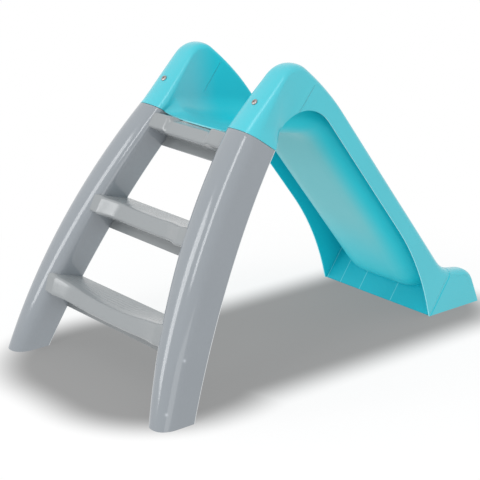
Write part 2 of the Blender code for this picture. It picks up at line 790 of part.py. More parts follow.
def build_slide():
    """Model every piece of the slide."""
    build = Builder()
    floor = floor_cutter(build)
    sides = (("left", 1), ("right", -1))
    trims = [side_solid(build, word + "_trim", side) for word, side in sides]
    seats = {word: bolt_seat(side) for word, side in sides}
    holes = {word: bolt_hole(build, word + "_hole", seat) for word, seat in seats.items()}
    chute(build, floor, holes.values())
    for word, side in sides:
        ladder_side(build, word + "_ladder_side", side, floor, holes[word])
        bolt_set(build, word, seats[word])
    for name, size in TREADS.items():
        tread(build, name, size, trims)


build_slide()
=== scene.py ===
"""Looks of a kids slide: a glossy moulded chute bolted over a splayed grey ladder.

Side-view points are (x, z) pairs in slide coordinates, with x from the front of the ladder feet.
Finished meshes stand in the row frame, whose origin is on the floor under the slide's middle.
Every size is in metres, and every angle in degrees.
"""

import logging
import math
from dataclasses import dataclass, field
from enum import Enum
from typing import Callable, Iterable, Sequence, Union

import bmesh
import bpy
from mathutils import Matrix, Vector


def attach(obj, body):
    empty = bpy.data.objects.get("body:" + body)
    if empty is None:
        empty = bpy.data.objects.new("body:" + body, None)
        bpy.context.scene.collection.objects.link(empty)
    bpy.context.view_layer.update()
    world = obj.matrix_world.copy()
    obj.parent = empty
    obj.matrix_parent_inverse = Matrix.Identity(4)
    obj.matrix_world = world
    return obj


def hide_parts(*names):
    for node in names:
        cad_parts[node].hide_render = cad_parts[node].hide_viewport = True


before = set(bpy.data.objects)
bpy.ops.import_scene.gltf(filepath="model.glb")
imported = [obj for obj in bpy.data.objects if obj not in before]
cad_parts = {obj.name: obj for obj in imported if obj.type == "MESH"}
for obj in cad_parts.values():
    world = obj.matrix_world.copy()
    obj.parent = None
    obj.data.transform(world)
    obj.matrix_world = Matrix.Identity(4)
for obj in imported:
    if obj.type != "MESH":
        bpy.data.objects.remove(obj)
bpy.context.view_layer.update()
LOG = logging.getLogger("kids_slide")

LENGTH = 1.231
HEIGHT = 0.770
WALL = 0.0035
RIM_ROUND = 0.0011
RIM_SEGMENTS = 3
RIM_ANGLE = 48.0
SMOOTH_ANGLE = 40.0
GROUND_OVERLAP = 0.010
SKIN_INSET = 0.00012
SKIN_MAP = "skin"
ARC_STEP = 1.5
LEAST_ARC_STEPS = 4
CUT_DISTANCE = 1e-7
MERGE_DISTANCE = 1e-6
LIMIT_SLOPE = 1e4
WHITE = (1, 1, 1, 1)
TO_ROW = Vector((-LENGTH / 2, 0, 0))

Section = list[Vector]
Widths = Callable[[float], tuple[float, float]]


class Side(Enum):
    """The slide's two sides, seen by someone who sits at the top."""

    LEFT = 1
    RIGHT = -1

    @property
    def word(self) -> str:
        """Side's word in a piece's name."""
        return self.name.lower()


def unit(angle: float) -> Vector:
    """Side-view direction at an angle above the horizontal."""
    return Vector((math.cos(math.radians(angle)), math.sin(math.radians(angle))))


def lerp(start: float, end: float, share: float) -> float:
    """Number at a share of the way between two others."""
    return start + (end - start) * share


def smooth_share(share: float) -> float:
    """Ease a 0 to 1 share at both ends."""
    share = min(max(share, 0.0), 1.0)
    return share * share * (3 - 2 * share)


def meet(point_a: Vector, angle_a: float, point_b: Vector, angle_b: float) -> Vector:
    """Find where two side-view lines cross.

    Args:
        point_a: A point on the first line.
        angle_a: The first line's angle.
        point_b: A point on the second line.
        angle_b: The second line's angle.

    Returns:
        The point on both lines.
    """
    dir_a, dir_b = unit(angle_a), unit(angle_b)
    gap = point_b - point_a
    along = (gap.x * dir_b.y - gap.y * dir_b.x) / (dir_a.x * dir_b.y - dir_a.y * dir_b.x)
    return point_a + along * dir_a


@dataclass
class Outline:
    """A side-view line with rounded corners, cut into spans at its marks.

    The corners are (point, radius) pairs, and the marks (corner, where) pairs, where 0 to 1 runs
    over the corner's arc and 1 to 2 over the straight after it.
    """

    corners: Sequence[tuple[Vector, float]]
    marks: Sequence[tuple[int, float]]
    arc_steps: int = 0
    points: list[Vector] = field(default_factory=list)
    starts: list[int] = field(default_factory=list)
    ends: list[int] = field(default_factory=list)
    lengths: list[float] = field(default_factory=lambda: [0.0])
    places: list[float] = field(default_factory=list)

    def __post_init__(self) -> None:
        """Draw the line and measure it."""
        last = len(self.corners) - 1
        for index, (point, radius) in enumerate(self.corners):
            self.starts.append(len(self.points))
            if index in (0, last) or radius <= 0:
                self.points.append(point)
            else:
                self._arc(self.corners[index - 1][0], point, self.corners[index + 1][0], radius)
            self.ends.append(len(self.points) - 1)
        for before, after in zip(self.points, self.points[1:]):
            self.lengths.append(self.lengths[-1] + (after - before).length)
        self.places = [self._place(corner, where) for corner, where in self.marks]

    def _arc(self, before: Vector, point: Vector, after: Vector, radius: float) -> None:
        """Add a corner's arc.

        Args:
            before: The corner before it.
            point: The corner.
            after: The corner after it.
            radius: The arc's radius.
        """
        into = (point - before).normalized()
        out = (after - point).normalized()
        turn = math.atan2(into.x * out.y - into.y * out.x, into.dot(out))
        start = point - radius * math.tan(abs(turn) / 2) * into
        centre = start + radius * math.copysign(1, turn) * Vector((-into.y, into.x))
        steps = self.arc_steps or max(LEAST_ARC_STEPS,
                                      math.ceil(abs(turn) / math.radians(ARC_STEP)))
        for step in range(steps + 1):
            spin = Matrix.Rotation(turn * step / steps, 2)
            self.points.append(centre + spin @ (start - centre))

    def _place(self, corner: int, where: float) -> float:
        """Measure the distance along the line to one mark.

        Args:
            corner: The mark's corner.
            where: 0 to 1 over the corner's arc, 1 to 2 over the straight after it.

        Returns:
            The distance from the line's start.
        """
        first = self.lengths[self.starts[corner]]
        last = self.lengths[self.ends[corner]]
        if where <= 1:
            return lerp(first, last, where)
        return lerp(last, self.lengths[self.starts[corner + 1]], where - 1)

    def at_length(self, length: float) -> Vector:
        """Find the point at a distance along the line.

        Args:
            length: The distance from the line's start.

        Returns:
            The side-view point.
        """
        for index in range(1, len(self.points)):
            if length <= self.lengths[index] or index == len(self.points) - 1:
                piece = self.lengths[index] - self.lengths[index - 1]
                share = (length - self.lengths[index - 1]) / piece
                return self.points[index - 1].lerp(self.points[index], min(max(share, 0), 1))
        return self.points[-1]

    def at(self, span: int, share: float) -> Vector:
        """Point at a share of the way through one span."""
        return self.at_length(lerp(self.places[span], self.places[span + 1], share))

    def along(self, counts: Sequence[int]) -> list[Vector]:
        """Cut every span into steps.

        Args:
            counts: Number of steps in each span.

        Returns:
            The points, from the line's start to its end.
        """
        points = [self.at(0, 0)]
        for span, count in enumerate(counts):
            points += [self.at(span, step / count) for step in range(1, count + 1)]
        return points


@dataclass(frozen=True)
class Crown:
    """Rounded front of a moulded channel, as a superellipse over its width."""

    fullness: float = 2.3
    steps: int = 15

    def curve(self, step: int, depth: float, inset: float = 0.0) -> tuple[float, float]:
        """Find one step of the rounded line.

        Args:
            step: From -steps on the inner face to steps on the outer one.
            depth: Depth of the rounding on this half.
            inset: How far the line stands inside the skin.

        Returns:
            Depth below the crown, and share of the width from the inner face.
        """
        power = 2 / self.fullness
        angle = math.pi / 2 * step / self.steps
        across = math.copysign(abs(math.sin(angle)) ** power, angle)
        down = inset + (depth - inset) * (1 - max(math.cos(angle), 0.0) ** power)
        return down, 0.5 + 0.5 * across

    def reach(self, down: float, depth: float) -> float:
        """Find how far the inner face has receded at a depth below the crown.

        Args:
            down: The depth below the crown.
            depth: Depth of the rounding.

        Returns:
            Share of the width.
        """
        if down >= depth:
            return 0.0
        level = (1 - max(down, 0.0) / depth) ** self.fullness
        return 0.5 - 0.5 * (1 - level) ** (1 / self.fullness)


@dataclass(frozen=True)
class LadderForm:
    """Lines of the ladder: two bowed, leaning channels that meet the ears at the seam."""

    lean: float = 17.25
    lean_radius: float = 1.690
    foot_depth: float = 0.096
    foot_outer: float = 0.350
    foot_inner: float = 0.276
    bow_outer: float = 0.009
    bow_inner: float = 0.0075
    depth_bow: float = 0.005
    foot_crown: float = 0.046
    seam_height: float = 0.631
    seam_depth: float = 0.089
    seam_tilt: float = 36.0
    seam_outer: float = 0.230
    seam_inner: float = 0.131
    seam_crown: float = 0.036
    seam_inner_crown: float = 0.023
    crown: Crown = Crown()
    wall_steps: int = 6
    limit_rounds: int = 6

    def front(self, height: float) -> Vector:
        """Find a point on the bowed front line.

        Args:
            height: Height over the floor.

        Returns:
            The side-view point.
        """
        foot = math.radians(self.lean)
        lean = math.asin(math.sin(foot) + height / self.lean_radius)
        return Vector((self.lean_radius * (math.cos(foot) - math.cos(lean)), height))

    def _half(self, height: float, foot: float, seam: float, bow: float) -> float:
        """Half width of one bowed face at a height."""
        share = height / self.seam_height
        return lerp(foot, seam, share) + 4 * bow * share * (1 - share)

    def outer(self, height: float) -> float:
        """Distance from the middle plane to a side's outer face."""
        return self._half(height, self.foot_outer, self.seam_outer, self.bow_outer)

    def inner(self, height: float) -> float:
        """Distance from the middle plane to a side's inner face."""
        return self._half(height, self.foot_inner, self.seam_inner, -self.bow_inner)

    def widths(self, height: float) -> tuple[float, float]:
        """Outer and inner half widths at a height."""
        return self.outer(height), self.inner(height)

    def depth(self, height: float) -> float:
        """Find a side's depth from front to rear.

        Args:
            height: Height over the floor.

        Returns:
            The depth.
        """
        share = height / self.seam_height
        return lerp(self.foot_depth, self.seam_depth, share) + self._half(
            height, 0, 0, self.depth_bow)

    def tilt(self, height: float) -> float:
        """Angle at which a side's sections drop to the rear."""
        return self.seam_tilt * height / self.seam_height

    def rear(self, height: float) -> Vector:
        """Side-view point on a side's rear edge, at the end of one of its sections."""
        return self.front(height) + self.depth(height) * unit(-self.tilt(height))

    def crowns(self, share: float) -> tuple[float, float]:
        """Depths of the outer and inner rounding at a share of the way to the seam."""
        return (lerp(self.foot_crown, self.seam_crown, share),
                lerp(self.foot_crown, self.seam_inner_crown, share))

    def section(self, front: Vector, way: Vector, depth: float, crowns: tuple[float, float],
                inset: float, widths: Widths) -> Section:
        """Draw the line around a channel from its rear outer to its rear inner edge.

        Args:
            front: Side-view point on the channel's front.
            way: Side-view direction from front to rear.
            depth: Distance from front to rear.
            crowns: Depths of the rounding on the outer and inner half.
            inset: How far the line stands inside the skin.
            widths: Gives the outer and inner half width at a height.

        Returns:
            Points on the +Y side.
        """

        def place(down: float, across: float) -> Vector:
            """Find a point of the section.

            Args:
                down: Depth behind the front.
                across: Share of the width, from the inner (0) to the outer face (1).

            Returns:
                The point on the +Y side.
            """
            flat = front + down * way
            outer, inner = widths(flat.y)
            return Vector((flat.x, lerp(inner + inset, outer - inset, across), flat.y))

        outer_crown, inner_crown = crowns
        count = self.wall_steps
        points = [place(lerp(depth, outer_crown, step / count), 1) for step in range(count)]
        for step in range(self.crown.steps, -self.crown.steps - 1, -1):
            rounding = outer_crown if step > 0 else inner_crown
            points.append(place(*self.crown.curve(step, rounding, inset)))
        points += [place(lerp(inner_crown, depth, step / count), 0)
                   for step in range(1, count + 1)]
        return points

    def station(self, height: float, share: float, inset: float = 0.0) -> Section:
        """Line around a side at a height."""
        return self.section(self.front(height), unit(-self.tilt(height)), self.depth(height),
                            self.crowns(share), inset, self.widths)

    def inner_limit(self, flat: Vector) -> float:
        """Find where a side's inner skin lies, its rounded front included.

        Args:
            flat: A side-view point.

        Returns:
            Distance from the middle plane to the skin.
        """
        height = flat.y
        down = 0.0
        for _ in range(self.limit_rounds):
            tilt = math.radians(self.tilt(height))
            down = (flat.x - self.front(height).x) / math.cos(tilt)
            height = flat.y + down * math.sin(tilt)
        crown = self.crowns(height / self.seam_height)[1]
        return lerp(self.inner(flat.y), self.outer(flat.y), self.crown.reach(down, crown))


@dataclass
class ChuteForm:
    """Lines of the chute: crown of the ears and rails, skirt edge and bed."""

    ladder: LadderForm = field(default_factory=LadderForm)
    ear_rise: float = 45.0
    crest_radius: float = 0.060
    shoulder_angle: float = 39.0
    shoulder_run: float = 0.150
    shoulder_radius: float = 0.750
    ear_end: float = 0.12
    runout_corner: float = 1.0850
    runout_rail: float = 0.1187
    runout_fall: float = 10.0
    runout_radius: float = 0.120
    runout_start: float = 0.6
    nose_radius: float = 0.045
    nose_lean: float = 21.0
    skirt_band: float = 0.0545
    arch_radius: float = 0.105
    foot_x: float = 1.025
    foot_lean: float = 15.0
    foot_radius: float = 0.700
    skirt_half: float = 0.2145
    rail_inner: float = 0.155
    rail_crown: float = 0.017
    runout_crown: float = 0.026
    nose_crown: float = 0.008
    lip_drop: float = 0.027
    lip_setback: float = 0.031
    lip_share: float = 0.75
    platform_fall: float = 10.0
    platform_radius: float = 0.090
    bed_depth: float = 0.069
    bed_flat: float = 0.065
    bed_top_share: float = 0.3
    bed_foot_share: float = 0.6
    lip_flat: float = 0.012
    runout_bed: float = 0.046
    runout_bed_radius: float = 0.070
    bed_end_radius: float = 0.018
    bed_setback: float = 0.025
    fillet: float = 0.055
    most_fillet: float = 0.9

    def __post_init__(self) -> None:
        """Draw the three outlines."""
        self.seam_front = self.ladder.front(self.ladder.seam_height)
        self.seam_rear = self.seam_front + self.ladder.seam_depth * unit(-self.ladder.seam_tilt)
        self.crown = self._crown_line()
        self.skirt = self._skirt_line()
        self.bed = self._bed_line()

    def _slope(self, depth: float) -> Vector:
        """Point on the line that runs parallel to the slope at a depth below the crown."""
        return self.shoulder + depth * unit(-self.slope_angle - 90)

    def _crown_line(self) -> Outline:
        """Draw the top line of the ears and rails.

        Returns:
            The line, in four spans from the seam to the nose's foot.
        """
        rise = math.radians(self.ear_rise)
        climb = HEIGHT - self.ladder.seam_height - self.crest_radius * (1 - math.cos(rise))
        crest_centre = (self.seam_front + climb / math.sin(rise) * unit(self.ear_rise)
                        + self.crest_radius * unit(self.ear_rise - 90))
        half_turn = math.radians(self.ear_rise + self.shoulder_angle) / 2
        middle = unit((self.ear_rise - self.shoulder_angle) / 2 + 90)
        crest = crest_centre + self.crest_radius / math.cos(half_turn) * middle
        self.shoulder = crest + self.shoulder_run * unit(-self.shoulder_angle)
        runout = Vector((self.runout_corner, self.runout_rail))
        slope = self.shoulder - runout
        self.slope_angle = math.degrees(math.atan2(slope.y, -slope.x))
        nose_foot = Vector((LENGTH, 0))
        nose = meet(nose_foot, 90 + self.nose_lean, runout, -self.runout_fall)
        end = meet(nose_foot, 90 + self.nose_lean, Vector((0, -GROUND_OVERLAP)), 0)
        corners = [(self.seam_front, 0), (crest, self.crest_radius),
                   (self.shoulder, self.shoulder_radius), (runout, self.runout_radius),
                   (nose, self.nose_radius), (end, 0)]
        return Outline(corners, [(0, 0), (2, self.ear_end), (2, 1), (3, self.runout_start),
                                 (5, 0)])

    def _skirt_line(self) -> Outline:
        """Draw the lower edge of the outer walls: seam, arch, foot and floor.

        Returns:
            The line, in four spans that match the top line's.
        """
        arch = meet(self.seam_rear, self.ear_rise, self._slope(self.skirt_band),
                    -self.slope_angle)
        foot = Vector((self.foot_x, 0))
        knee = meet(self._slope(self.skirt_band), -self.slope_angle, foot, 90 + self.foot_lean)
        foot_end = meet(foot, 90 + self.foot_lean, Vector((0, -GROUND_OVERLAP)), 0)
        nose_end = Vector((LENGTH - self.nose_radius / 2, -GROUND_OVERLAP))
        corners = [(self.seam_rear, 0), (arch, self.arch_radius), (knee, self.foot_radius),
                   (foot_end, 0), (nose_end, 0)]
        return Outline(corners, [(0, 0), (1, 0), (1, 1), (3, 0), (4, 0)])

    def _bed_line(self) -> Outline:
        """Draw the middle line of the lip, platform, bed and run-out.

        Returns:
            The line, in four spans that match the top line's.
        """
        lip = self.seam_front + Vector((self.lip_setback, -self.lip_drop))
        bed_top = meet(lip, -self.platform_fall, self._slope(self.bed_depth), -self.slope_angle)
        level = Vector((0, self.runout_bed))
        bed_foot = meet(self._slope(self.bed_depth), -self.slope_angle, level, 0)
        nose_foot = Vector((LENGTH - self.bed_setback, 0))
        bed_end = meet(nose_foot, 90 + self.nose_lean, level, 0)
        end = meet(nose_foot, 90 + self.nose_lean, Vector((0, -GROUND_OVERLAP)), 0)
        corners = [(lip, 0), (bed_top, self.platform_radius),
                   (bed_foot, self.runout_bed_radius), (bed_end, self.bed_end_radius), (end, 0)]
        return Outline(corners, [(0, 0), (0, 1 + self.lip_share), (1, self.bed_top_share),
                                 (2, self.bed_foot_share), (4, 0)])

    def station(self, span: int, share: float) -> "ChuteStation":
        """Widths and depths at one place along the crown."""
        return ChuteStation(self, span, share)


@dataclass
class ChuteStation:
    """The chute's half section at one place along its crown."""

    form: ChuteForm
    span: int
    share: float
    bed_steps: int = 5
    fillet_steps: int = 16
    wall_steps: int = 6
    skirt_steps: int = 10

    def __post_init__(self) -> None:
        """Work out the station's points and widths."""
        form, ladder = self.form, self.form.ladder
        self.crown = form.crown.at(self.span, self.share)
        self.skirt = form.skirt.at(self.span, self.share)
        self.bed = form.bed.at(self.span, self.share)
        self.ear = smooth_share(self.share) if self.span == 0 else 1.0
        rail = form.rail_crown
        if self.span == 2:
            rail = lerp(form.rail_crown, form.runout_crown, smooth_share(self.share))
        elif self.span == 3:
            rail = lerp(form.runout_crown, form.nose_crown, smooth_share(self.share))
        self.outer_crown = lerp(ladder.seam_crown, rail, self.ear)
        self.inner_crown = lerp(ladder.seam_inner_crown, form.rail_crown, self.ear)
        self.flat = lerp(form.lip_flat, form.bed_flat, min(1.0, 2 * self.ear))
        self.way = (self.skirt - self.crown).normalized()

    def widths(self, height: float) -> tuple[float, float]:
        """Find the half widths at a height.

        Args:
            height: Height over the floor.

        Returns:
            The outer and inner half width.
        """
        low = min(height, self.form.ladder.seam_height)
        outer, inner = self.form.ladder.widths(low)
        return (lerp(outer, self.form.skirt_half, self.ear),
                lerp(inner, self.form.rail_inner, self.ear))

    def place(self, flat: Vector, across: float) -> Vector:
        """Point over a side-view point, at a share from the inner (0) to the outer face (1)."""
        outer, inner = self.widths(flat.y)
        return Vector((flat.x, lerp(inner, outer, across), flat.y))

    def half_section(self) -> Section:
        """Draw the line from the bed's middle over the rail to the skirt's lower edge.

        Returns:
            Points on the +Y side.
        """
        points = [Vector((self.bed.x, self.flat * step / self.bed_steps, self.bed.y))
                  for step in range(self.bed_steps + 1)]
        inner_end = self.crown + self.inner_crown * self.way
        to_bed = self.bed - inner_end
        drop = to_bed.length
        fillet = min(self.form.fillet, self.form.most_fillet * drop)
        for step in range(1, self.fillet_steps + 1):
            angle = math.pi / 2 * step / self.fillet_steps
            down = drop - fillet * (1 - math.cos(angle))
            place = self.place(inner_end + down / drop * to_bed, 0)
            place.y = lerp(self.flat, place.y, math.sin(angle))
            points.append(place)
        for step in range(self.wall_steps - 1, 0, -1):
            share = (drop - fillet) / drop * step / self.wall_steps
            points.append(self.place(inner_end + share * to_bed, 0))
        crown = self.form.ladder.crown
        for step in range(-crown.steps, crown.steps + 1):
            depth = self.inner_crown if step < 0 else self.outer_crown
            down, across = crown.curve(step, depth)
            points.append(self.place(self.crown + down * self.way, across))
        outer_end = self.crown + self.outer_crown * self.way
        for step in range(1, self.skirt_steps + 1):
            points.append(self.place(outer_end.lerp(self.skirt, step / self.skirt_steps), 1))
        return points


def reflected(points: Iterable[Vector]) -> Section:
    """Mirror images of points, across the slide's middle plane."""
    return [Vector((point.x, -point.y, point.z)) for point in points]


def mirrored(points: Section, side: Side) -> Section:
    """A line on the left side, or its mirror image running the other way on the right."""
    return points if side is Side.LEFT else reflected(reversed(points))


def to_mesh(name: str, shape: bmesh.types.BMesh) -> bpy.types.Mesh:
    """Make a new mesh of a shape, and free the shape.

    Args:
        name: Name of the mesh.
        shape: The shape, which can't be used afterwards.

    Returns:
        The new mesh.
    """
    mesh = bpy.data.meshes.new(name)
    shape.to_mesh(mesh)
    shape.free()
    return mesh


def smooth(mesh: bpy.types.Mesh) -> None:
    """Shade a mesh smooth, with its sharp edges kept."""
    mesh.shade_smooth()
    mesh.set_sharp_from_angle(angle=math.radians(SMOOTH_ANGLE))


def show(name: str, mesh: bpy.types.Mesh) -> bpy.types.Object:
    """Put a mesh in the scene at the origin.

    Args:
        name: Name of the new object.
        mesh: Its mesh.

    Returns:
        The new object.
    """
    piece = bpy.data.objects.new(name, mesh)
    bpy.context.scene.collection.objects.link(piece)
    return piece


def bake(piece: bpy.types.Object) -> bpy.types.Mesh:
    """Turn a piece and its modifiers into one plain mesh, and remove the piece.

    Args:
        piece: The piece, which can't be used afterwards.

    Returns:
        The plain mesh.
    """
    graph = bpy.context.evaluated_depsgraph_get()
    mesh = bpy.data.meshes.new_from_object(piece.evaluated_get(graph))
    bpy.data.objects.remove(piece)
    return mesh


@dataclass(frozen=True)
class Finish:
    """Materials of a moulded shell: its outside, its inside and its free edges, painted lighter
    as a highlight.
    """

    outside: bpy.types.Material
    inside: bpy.types.Material
    edge: bpy.types.Material


@dataclass
class Shell:
    """A moulded wall of even thickness over rows of section points, with rounded free edges.

    The skin faces outwards where (section direction) x (row direction) does.
    """

    name: str
    rows: list[Section]
    wall: float = WALL
    rim: float = RIM_ROUND

    def skin(self) -> bpy.types.Mesh:
        """Lay a grid with its own UV map over the rows.

        Returns:
            The skin, a little inside the rows.
        """
        shape = bmesh.new()
        shape.loops.layers.uv.new(SKIN_MAP)
        across, along = len(self.rows[0]) - 1, len(self.rows) - 1
        bmesh.ops.create_grid(shape, x_segments=across, y_segments=along, size=0.5,
                              calc_uvs=True)
        for vert in shape.verts:
            column = round((vert.co.x + 0.5) * across)
            row = round((vert.co.y + 0.5) * along)
            vert.co = self.rows[row][column] + TO_ROW
        shape.normal_update()
        for vert in shape.verts:
            vert.co -= SKIN_INSET * vert.normal
        return to_mesh(self.name, shape)

    def build(self, finish: Finish) -> bpy.types.Object:
        """Thicken the skin, round its free edges and cut it flat on the floor.

        Args:
            finish: Materials of the outside, the inside and the free edges, painted lighter as a
                highlight.

        Returns:
            The finished and dressed shell.
        """
        blank = show(self.name, self.skin())
        for material in (finish.outside, finish.inside, finish.edge):
            blank.data.materials.append(material)
        wall = blank.modifiers.new("wall", "SOLIDIFY")
        wall.thickness = self.wall - SKIN_INSET
        wall.offset = -1
        wall.use_even_offset = True
        wall.material_offset = 1
        # The free edges take the third material, a painted highlight.
        wall.material_offset_rim = 2
        mesh = bake(blank)
        shape = bmesh.new()
        shape.from_mesh(mesh)
        sharp = [edge for edge in shape.edges
                 if edge.is_manifold and edge.calc_face_angle() > math.radians(RIM_ANGLE)]
        bmesh.ops.bevel(shape, geom=sharp, offset=self.rim, offset_type="OFFSET",
                        segments=RIM_SEGMENTS, profile=0.5, affect="EDGES", material=-1,
                        clamp_overlap=True)
        cut_on_floor(shape)
        shape.to_mesh(mesh)
        shape.free()
        smooth(mesh)
        mesh.name = self.name
        return show(self.name, mesh)


def cut_on_floor(shape: bmesh.types.BMesh) -> None:
    """Cut a closed shape at the floor, and close the cut.

    Args:
        shape: The shape to cut.
    """
    if min(vert.co.z for vert in shape.verts) >= 0:
        return
    whole = shape.verts[:] + shape.edges[:] + shape.faces[:]
    cut = bmesh.ops.bisect_plane(shape, geom=whole, dist=CUT_DISTANCE,
                                 plane_co=(0, 0, 0), plane_no=(0, 0, 1), clear_inner=True)
    rim = [edge for edge in cut["geom_cut"] if isinstance(edge, bmesh.types.BMEdge)]
    closed = bmesh.ops.edgeloop_fill(shape, edges=rim)
    for face in closed["faces"]:
        face.normal_update()
        if face.normal.z > 0:
            face.normal_flip()
    bmesh.ops.triangulate(shape, faces=closed["faces"])


class Socket:
    """One output of a shader node, with arithmetic."""

    def __init__(self, graph: "Graph", output: bpy.types.NodeSocket) -> None:
        """Hold the output of a node in a graph."""
        self.graph = graph
        self.output = output

    def __add__(self, other: "Value") -> "Socket":
        """Sum."""
        return self.graph.math("ADD", self, other)

    __radd__ = __add__

    def __sub__(self, other: "Value") -> "Socket":
        """Difference."""
        return self.graph.math("SUBTRACT", self, other)

    def __rsub__(self, other: "Value") -> "Socket":
        """Difference from a number."""
        return self.graph.math("SUBTRACT", other, self)

    def __mul__(self, other: "Value") -> "Socket":
        """Product."""
        return self.graph.math("MULTIPLY", self, other)

    __rmul__ = __mul__

    def __truediv__(self, other: "Value") -> "Socket":
        """Quotient."""
        return self.graph.math("DIVIDE", self, other)

    def __pow__(self, other: "Value") -> "Socket":
        """Power."""
        return self.graph.math("POWER", self, other)

    def __neg__(self) -> "Socket":
        """Opposite."""
        return self * -1.0

    def clamped(self) -> "Socket":
        """Same value held between 0 and 1."""
        return self.graph.math("MINIMUM", self.graph.math("MAXIMUM", self, 0.0), 1.0)


Value = Union[Socket, float, Sequence[float]]


class Graph:
    """Node graph of one material or world."""

    def __init__(self, tree: bpy.types.NodeTree) -> None:
        """Start from an empty node tree."""
        self.tree = tree
        tree.nodes.clear()

    def node(self, kind: str, settings: dict | None = None,
             inputs: dict | None = None) -> bpy.types.Node:
        """Add a node.

        Args:
            kind: The node's type.
            settings: Properties of the node, which are set first.
            inputs: Values or links for its sockets, by name or number.

        Returns:
            The new node.
        """
        node = self.tree.nodes.new(kind)
        for key, value in (settings or {}).items():
            setattr(node, key, value)
        for key, value in (inputs or {}).items():
            self.feed(node.inputs[key], value)
        return node

    def feed(self, socket: bpy.types.NodeSocket, value: Value) -> None:
        """Link a socket to another, or set its value.

        Args:
            socket: The input to feed.
            value: An output, a number or a colour.
        """
        if isinstance(value, Socket):
            self.tree.links.new(value.output, socket)
        else:
            socket.default_value = value

    def out(self, node: bpy.types.Node, key: Union[str, int] = 0) -> Socket:
        """One output of a node."""
        return Socket(self, node.outputs[key])

    def math(self, operation: str, first: Value, second: Value = 0.0) -> Socket:
        """Math node on two values."""
        return self.out(self.node("ShaderNodeMath", {"operation": operation},
                                  {0: first, 1: second}))

    def mix_colour(self, share: Value, first: Value, second: Value) -> Socket:
        """Mix two colours.

        Args:
            share: 0 for the first colour, 1 for the second.
            first: The first colour.
            second: The second colour.

        Returns:
            The mixed colour.
        """
        node = self.node("ShaderNodeMix", {"data_type": "RGBA"}, {"Factor": share})
        colours = [socket for socket in node.inputs if socket.type == "RGBA"]
        for socket, value in zip(colours, (first, second)):
            self.feed(socket, value)
        return Socket(self, [socket for socket in node.outputs if socket.type == "RGBA"][0])

    def position(self) -> Socket:
        """Place on the piece, in the row frame."""
        return self.out(self.node("ShaderNodeTexCoord"), "Object")

    def xyz(self) -> tuple[Socket, Socket, Socket]:
        """The three numbers of the place on the piece."""
        parts = self.node("ShaderNodeSeparateXYZ", inputs={0: self.position()})
        return self.out(parts, "X"), self.out(parts, "Y"), self.out(parts, "Z")

    def across_skin(self) -> Socket:
        """Share of the way across a shell, from its own UV map."""
        skin = self.node("ShaderNodeUVMap", {"uv_map": SKIN_MAP})
        return self.out(self.node("ShaderNodeSeparateXYZ", inputs={0: self.out(skin)}), "X")

    def noise(self, scale: float, detail: float) -> Socket:
        """Cloudy pattern from 0 to 1."""
        return self.out(self.node("ShaderNodeTexNoise", inputs={
            "Vector": self.position(), "Scale": scale, "Detail": detail}))


@dataclass(frozen=True)
class MouldLine:
    """A thin line that the mould left, raised or sunk, and straight in the side view.

    The ends are side-view points in slide coordinates. A line shows only on faces further from
    the middle plane than from_half.
    """

    start: tuple[float, float]
    end: tuple[float, float]
    half_width: float = 0.0011
    height: float = 0.0006
    fade: float = 0.006
    from_half: float = 0.0

    def relief(self, graph: Graph) -> Socket:
        """Height of the line over the surface.

        Args:
            graph: The material's graph.

        Returns:
            The relief in metres.
        """
        x, y, z = graph.xyz()
        way = Vector(self.end) - Vector(self.start)
        length = way.length
        way.normalize()
        origin = Vector(self.start) + Vector((TO_ROW.x, 0))
        left, up = x - origin.x, z - origin.y
        along = left * way.x + up * way.y
        off = left * -way.y + up * way.x
        inside = (along / self.fade).clamped() * ((length - along) / self.fade).clamped()
        half = graph.math("ABSOLUTE", y)
        inside = inside * ((half - self.from_half) * LIMIT_SLOPE).clamped()
        ridge = graph.math("EXPONENT", -((off / self.half_width) ** 2.0))
        return ridge * self.height * inside


@dataclass(frozen=True)
class Streaks:
    """Fine lines along a piece, at shares of its UV map's width."""

    places: tuple[float, ...]
    half_width: float = 0.005
    height: float = -0.00030

    def relief(self, graph: Graph) -> Socket:
        """Shape the lines.

        Args:
            graph: The material's graph.

        Returns:
            Their height over the surface, in metres.
        """
        across = graph.across_skin()
        total: Value = 0.0
        for place in self.places:
            ridge = graph.math("EXPONENT", -(((across - place) / self.half_width) ** 2.0))
            total = ridge * self.height + total
        return total


Relief = Union[MouldLine, Streaks]


@dataclass(frozen=True)
class Tint:
    """A second colour that comes in gradually along one axis of the piece.

    The bounds are the places, in slide coordinates, where it begins and where it is full. It
    shows only nearer to the middle plane than a half width.
    """

    colour: tuple[float, float, float]
    axis: int
    begin: float
    full: float
    both_sides: bool = False
    to_half: float = 1.0
    blur: float = 0.012
    most: float = 1.0

    def cover(self, graph: Graph) -> Socket:
        """Spread the tint over the piece.

        Args:
            graph: The material's graph.

        Returns:
            How much of the tint lies on each place, from 0 to 1.
        """
        place = graph.xyz()[self.axis] - TO_ROW[self.axis]
        if self.both_sides:
            place = graph.math("ABSOLUTE", place)
        share = graph.node("ShaderNodeMapRange", {"interpolation_type": "SMOOTHSTEP"}, {
            "Value": place, "From Min": self.begin, "From Max": self.full,
            "To Max": self.most})
        half = graph.math("ABSOLUTE", graph.xyz()[1])
        return graph.out(share) * ((self.to_half - half) / self.blur).clamped()


@dataclass(frozen=True)
class LineHighlight:
    """A painted highlight: a lighter colour on thin lines along the slide, at distances from its
    middle plane.
    """

    colour: tuple[float, float, float]
    places: tuple[float, ...]
    half_width: float = 0.0013

    def cover(self, graph: Graph) -> Socket:
        """Spread the tint over the piece.

        Args:
            graph: The material's graph.

        Returns:
            How much of the tint lies on each place, from 0 to 1.
        """
        _, y, _ = graph.xyz()
        total: Value = 0.0
        for place in self.places:
            total = graph.math("EXPONENT", -(((y - place) / self.half_width) ** 2.0)) + total
        return total.clamped()


